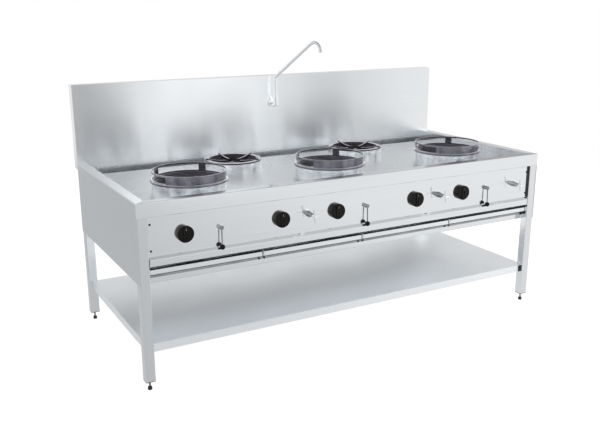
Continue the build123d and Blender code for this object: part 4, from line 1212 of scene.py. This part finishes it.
@dataclass
class ThreadCutter:
    """Winds screw threads round a core."""

    sides: int = 28

    def wind(self, name: str, core: float, crest: float, pitch: float, start: Point, axis: Point,
             length: float) -> bpy.types.Object:
        """Wind one thread as a ridge round its core.

        Args:
            name: the piece's name.
            core: radius at the thread's root.
            crest: radius at its crest.
            pitch: rise in one turn.
            start: where the thread begins, on its axis.
            axis: the direction that it runs in.
            length: how far it runs.

        Returns:
            The thread.
        """
        height = (crest - core) * 1.3
        bpy.ops.object.select_all(action="DESELECT")
        bpy.ops.mesh.primitive_circle_add(vertices=3, radius=height / 1.5, fill_type="NGON")
        profile = bpy.context.object
        to_upright = Matrix(((0, 1, 0), (0, 0, 1), (1, 0, 0))).to_4x4()
        stretch = Matrix.Diagonal((1, 1, pitch * 0.9 / (height / 1.5 * math.sqrt(3)), 1))
        place = Matrix.Translation((crest - height / 1.5, 0, pitch))
        profile.data.transform(place @ stretch @ to_upright)
        settle(profile, name)
        winding = profile.modifiers.new("winding", "SCREW")
        winding.axis = "Z"
        winding.angle = math.tau
        winding.screw_offset = pitch
        winding.iterations = max(1, int(length / pitch) - 2)
        winding.steps = self.sides
        winding.render_steps = self.sides
        apply_all(profile)
        with faces_of(profile, lambda face: True):
            bpy.ops.mesh.remove_doubles(threshold=1e-6)
            bpy.ops.mesh.fill_holes(sides=3)
            bpy.ops.mesh.normals_make_consistent(inside=False)
        turn = Vector(UP).rotation_difference(Vector(axis)).to_matrix().to_4x4()
        profile.data.transform(Matrix.Translation(start) @ turn)
        return profile


@dataclass
class LevellingFeet:
    """Black levelling feet: a round pad with a hexagon on top and a threaded stem."""

    pad_height: float = 0.016
    stem_radius: float = 0.0045
    thread_depth: float = 0.0006
    pitch: float = 0.0015
    hex_radius: float = 0.0085
    hex_height: float = 0.004
    hex_sink: float = 0.001

    def build(self, materials: Materials) -> None:
        """Model one foot and copy it under every leg."""
        low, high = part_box("foot_front_left")
        centre = middle_of("foot_front_left")
        radius = (high[0] - low[0]) / 2
        pad_top = low[2] + self.pad_height - self.hex_height
        pad_middle = (centre.x, centre.y, (low[2] + pad_top) / 2)
        pad = start_round("foot_pad", radius, pad_top - low[2], pad_middle, UP, 56)
        with faces_of(pad, lambda face: abs(face.normal.z) > 0.9):
            bevel(0.0015, 4)
        nut_middle = (centre.x, centre.y, pad_top + self.hex_height / 2 - self.hex_sink / 2)
        nut = start_round("foot_hexagon", self.hex_radius, self.hex_height + self.hex_sink, nut_middle, UP, 6)
        with faces_of(nut, looks(UP)):
            bevel(0.0007, 2)
        core = self.stem_radius - self.thread_depth
        stem_length = high[2] - pad_top
        stem_middle = (centre.x, centre.y, pad_top + stem_length / 2)
        stem = start_round("foot_stem", core, stem_length, stem_middle, UP, 28)
        with faces_of(stem, looks(UP)):
            bevel(0.0008, 2)
        thread = ThreadCutter().wind("foot_thread", core, self.stem_radius, self.pitch,
                                     (centre.x, centre.y, low[2] + self.pad_height), UP,
                                     high[2] - low[2] - self.pad_height)
        for piece in (pad, nut):
            dress(piece, materials["rubber"])
        for piece in (stem, thread):
            dress(piece, materials["zinc"])
        foot = join_pieces([pad, nut, stem, thread])
        smooth(foot)
        for corner in ("front_left", "front_right", "rear_left", "rear_right"):
            move = Matrix.Translation(middle_of(f"foot_{corner}") - centre)
            twin = copy_to(foot, f"levelling_foot_{corner}_turned", move)
            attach(twin, f"levelling_foot_{corner}")
            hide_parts(f"foot_{corner}")
        bpy.data.objects.remove(foot, do_unlink=True)
        log.info("levelling feet: 4")


@dataclass
class SupplyThreads:
    """Pipe threads on the three supply stubs."""

    depth: float = 0.0007
    seat: float = 0.0002
    pitch: float = 0.0018
    length: float = 0.025

    def build(self, materials: Materials) -> None:
        """Wind the threads on the gas, water and faucet stubs."""
        gas_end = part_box("gas_manifold")[1][1]
        water_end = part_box("water_pipes")[1][1]
        # The radius of each pipe, where its thread starts, and the way that the thread runs.
        stubs = {
            "gas": (0.0132, (1.04, gas_end - self.length, 0.693), BACK),
            "water": (0.0104, (-1.045, water_end - self.length, 0.725), BACK),
            "faucet": (0.0104, (0.0, 0.5075, 0.777), UP),
        }
        for name, (radius, start, axis) in stubs.items():
            thread = ThreadCutter(40).wind(f"{name}_stub_thread", radius - self.seat, radius + self.depth,
                                           self.pitch, start, axis, self.length)
            smooth(thread)
            dress(thread, materials["zinc"])
            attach(thread, ROOT)
        log.info("supply threads: %d", len(stubs))


@dataclass
class CornerWeldHighlights:
    """Ground weld lines along the rim's two front mitres, in a lighter steel that is also a painted highlight
    along each mitre.
    """

    width: float = 0.0014
    rise: float = 0.00018
    rim_width: float = 0.048
    margin: float = 0.0025

    def build(self, materials: Materials) -> None:
        """Lay one weld line on each front corner."""
        low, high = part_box("front_rim")
        reach = self.rim_width - 2 * self.margin
        for side, name in ((-1, "left"), (1, "right")):
            outer = Vector((side * (high[0] - self.margin), low[1] + self.margin, high[2]))
            inner = outer + Vector((-side * reach, reach, 0))
            middle = (outer + inner) / 2
            length = (inner - outer).length
            weld = start_block(f"corner_weld_highlight_{name}", (length, self.width, self.rise * 2), (0, 0, 0))
            with faces_of(weld, looks(UP)):
                bpy.ops.mesh.subdivide(number_cuts=5)
            with edges_of(weld, lambda a, b: a.z > 0 and b.z > 0 and abs(abs(a.y) - self.width / 2) < 1e-6
                          and abs(a.y - b.y) < 1e-6):
                bevel(self.rise, 2)
            turn = Matrix.Rotation(math.radians(-45 * side), 4, "Z")
            weld.data.transform(Matrix.Translation(middle) @ turn)
            smooth(weld)
            # The lighter steel on the weld is partly a painted highlight on the mitre.
            dress(weld, materials["hidden"])
            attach(weld, ROOT)
        log.info("corner welds: 2")


# ---------------------------------------------------------------- studio


@dataclass
class Studio:
    """White floor, soft lamps and the camera at the photograph's viewpoint."""

    camera_place: Point = (-2.0166, -3.4678, 1.6312)
    camera_turn: Point = (math.radians(74.294), 0.0018, math.radians(-29.128))
    lens_mm: float = 46.24
    sensor_mm: float = 36.0
    floor_size: float = 9.0
    floor_shadow: float = 0.16
    floor_white: Colour = (1.14, 1.14, 1.14)
    floor_span: tuple[float, float] = (-1.7, 3.4)
    floor_grade: tuple[tuple[float, Colour], ...] = (
        (0.0, (0.62, 0.63, 0.64)), (0.25, (0.68, 0.69, 0.7)), (0.6, (0.93, 0.935, 0.94)), (1.0, (1, 1, 1)))
    ceiling_fade: tuple[tuple[float, Colour], ...] = (
        (0.0, (1, 1, 1)), (0.22, (0.98, 0.98, 0.98)), (0.5, (0.8, 0.8, 0.8)), (0.74, (0.68, 0.68, 0.685)),
        (0.86, (0.58, 0.58, 0.585)), (0.95, (0.5, 0.5, 0.505)))
    # Each panel: degrees round from straight ahead of the range, and its brightness.
    room_panels: tuple[tuple[float, float], ...] = (
        (-180, 0.86), (-160, 0.95), (-100, 0.9), (-40, 0.8), (5, 0.54), (14, 0.5), (15.2, 0.66),
        (16.4, 1.08), (17.8, 0.9), (19.5, 1.34), (21, 1.05), (23.2, 1.5), (24.8, 1.12), (28.5, 0.98),
        (30.5, 0.78), (34.5, 0.86), (37, 1.0), (50, 1.02), (100, 0.88), (180, 0.86))
    # Light that has met many sheets is lifted: by how much, and between which two bounces.
    deep_gain: float = 2.7
    deep_bounces: tuple[float, float] = (2.0, 4.0)

    def place_camera(self) -> None:
        """Set up the camera at the measured viewpoint."""
        data = bpy.data.cameras.new("camera")
        data.lens = self.lens_mm
        data.sensor_width = self.sensor_mm
        camera = bpy.data.objects.new("camera", data)
        camera.location = self.camera_place
        camera.rotation_euler = self.camera_turn
        bpy.context.scene.collection.objects.link(camera)
        bpy.context.scene.camera = camera

    def lay_floor(self) -> None:
        """Lay the white floor, which keeps a faint shadow and glows brighter to the right."""
        bpy.ops.object.select_all(action="DESELECT")
        bpy.ops.mesh.primitive_plane_add(size=self.floor_size, location=(0, 0.5, -0.0005))
        floor = settle(bpy.context.object, "floor")
        material = bpy.data.materials.new("white_floor")
        material.use_nodes = True
        bench = NodeBench(material.node_tree)
        material.node_tree.nodes.remove(material.node_tree.nodes["Principled BSDF"])
        output = material.node_tree.nodes["Material Output"]
        rays = bench.add("ShaderNodeLightPath").outputs
        across = bench.spread(bench.part(bench.place(), "X"), 0, 1, *self.floor_span)
        graded = bench.ramp(across, self.floor_grade)
        glow = bench.add(
            "ShaderNodeEmission",
            Color=bench.blend(rays["Is Camera Ray"], graded, self.floor_white),
            Strength=bench.spread(rays["Ray Depth"], 1.02, self.deep_gain, *self.deep_bounces),
        )
        diffuse = bench.add("ShaderNodeBsdfDiffuse", Color=(0.9, 0.9, 0.9, 1))
        share = bench.spread(rays["Is Camera Ray"], 1.0, 1.0 - self.floor_shadow, 0.0, 1.0)
        mix = bench.add("ShaderNodeMixShader", Fac=share)
        bench.join(diffuse.outputs["BSDF"], mix.inputs[1])
        bench.join(glow.outputs["Emission"], mix.inputs[2])
        bench.join(mix.outputs["Shader"], output.inputs["Surface"])
        floor.data.materials.append(material)

    def light_world(self) -> None:
        """Surround the range with pale panels that dim towards the ceiling and differ round the room."""
        world = bpy.data.worlds.new("studio_world")
        world.use_nodes = True
        bpy.context.scene.world = world
        bench = NodeBench(world.node_tree)
        background = world.node_tree.nodes["Background"]
        rays = bench.add("ShaderNodeLightPath").outputs
        way = bench.add("ShaderNodeTexCoord").outputs["Generated"]
        height = bench.ramp(bench.part(way, "Z"), self.ceiling_fade)
        toward_cook = bench.reckon("MULTIPLY", bench.part(way, "Y"), -1.0)
        angle = bench.reckon("ARCTAN2", bench.part(way, "X"), toward_cook)
        bearing = bench.spread(angle, 0.0, 1.0, -math.pi, math.pi)
        room = bench.ramp(bearing, [(degrees / 360 + 0.5, (level, level, level))
                                    for degrees, level in self.room_panels])
        lit = bench.add("ShaderNodeVectorMath")
        lit.operation = "MULTIPLY"
        bench.join(height, lit.inputs[0])
        bench.join(room, lit.inputs[1])
        bench.fill(
            background,
            Color=bench.blend(rays["Is Camera Ray"], lit.outputs["Vector"], (1.0, 1.0, 1.0)),
            Strength=bench.spread(rays["Ray Depth"], 1.0, self.deep_gain, *self.deep_bounces),
        )

    def hang_lamp(self, name: str, place: Point, aim: Point, size: tuple[float, float], watts: float) -> None:
        """Hang one soft area lamp that leaves no glare on polished metal.

        Args:
            name: the lamp's name.
            place: where it hangs, in metres.
            aim: the point that it faces.
            size: its width and height.
            watts: its power.
        """
        data = bpy.data.lights.new(name, "AREA")
        data.shape = "RECTANGLE"
        data.size, data.size_y = size
        data.energy = watts
        lamp = bpy.data.objects.new(name, data)
        lamp.location = place
        facing = Vector(aim) - Vector(place)
        lamp.rotation_euler = facing.to_track_quat("-Z", "Y").to_euler()
        lamp.visible_glossy = False
        bpy.context.scene.collection.objects.link(lamp)

    def build(self) -> None:
        """Set up the whole studio."""
        self.place_camera()
        self.lay_floor()
        self.light_world()
        self.hang_lamp("top_softbox", (0.3, -0.4, 4.2), (0, 0, 0.8), (4.5, 3.0), 110)
        self.hang_lamp("right_softbox", (4.2, -3.0, 2.4), (0.4, 0, 0.8), (2.2, 2.6), 60)
        bpy.context.scene.view_settings.view_transform = "Standard"
        log.info("studio ready")


def main() -> None:
    """Build the studio, the finishes and the fittings in order."""
    logging.basicConfig(level=logging.INFO)
    Studio().build()
    materials = FinishRack().make_all()
    dress_frame(materials)
    assemblies = (TurnedCollars(), GasKnobs(), PanelTrim(), TrayTrim(), SwivelSpout(), LevellingFeet(),
                  SupplyThreads(), CornerWeldHighlights())
    for assembly in assemblies:
        assembly.build(materials)


if __name__ == "__main__":
    main()
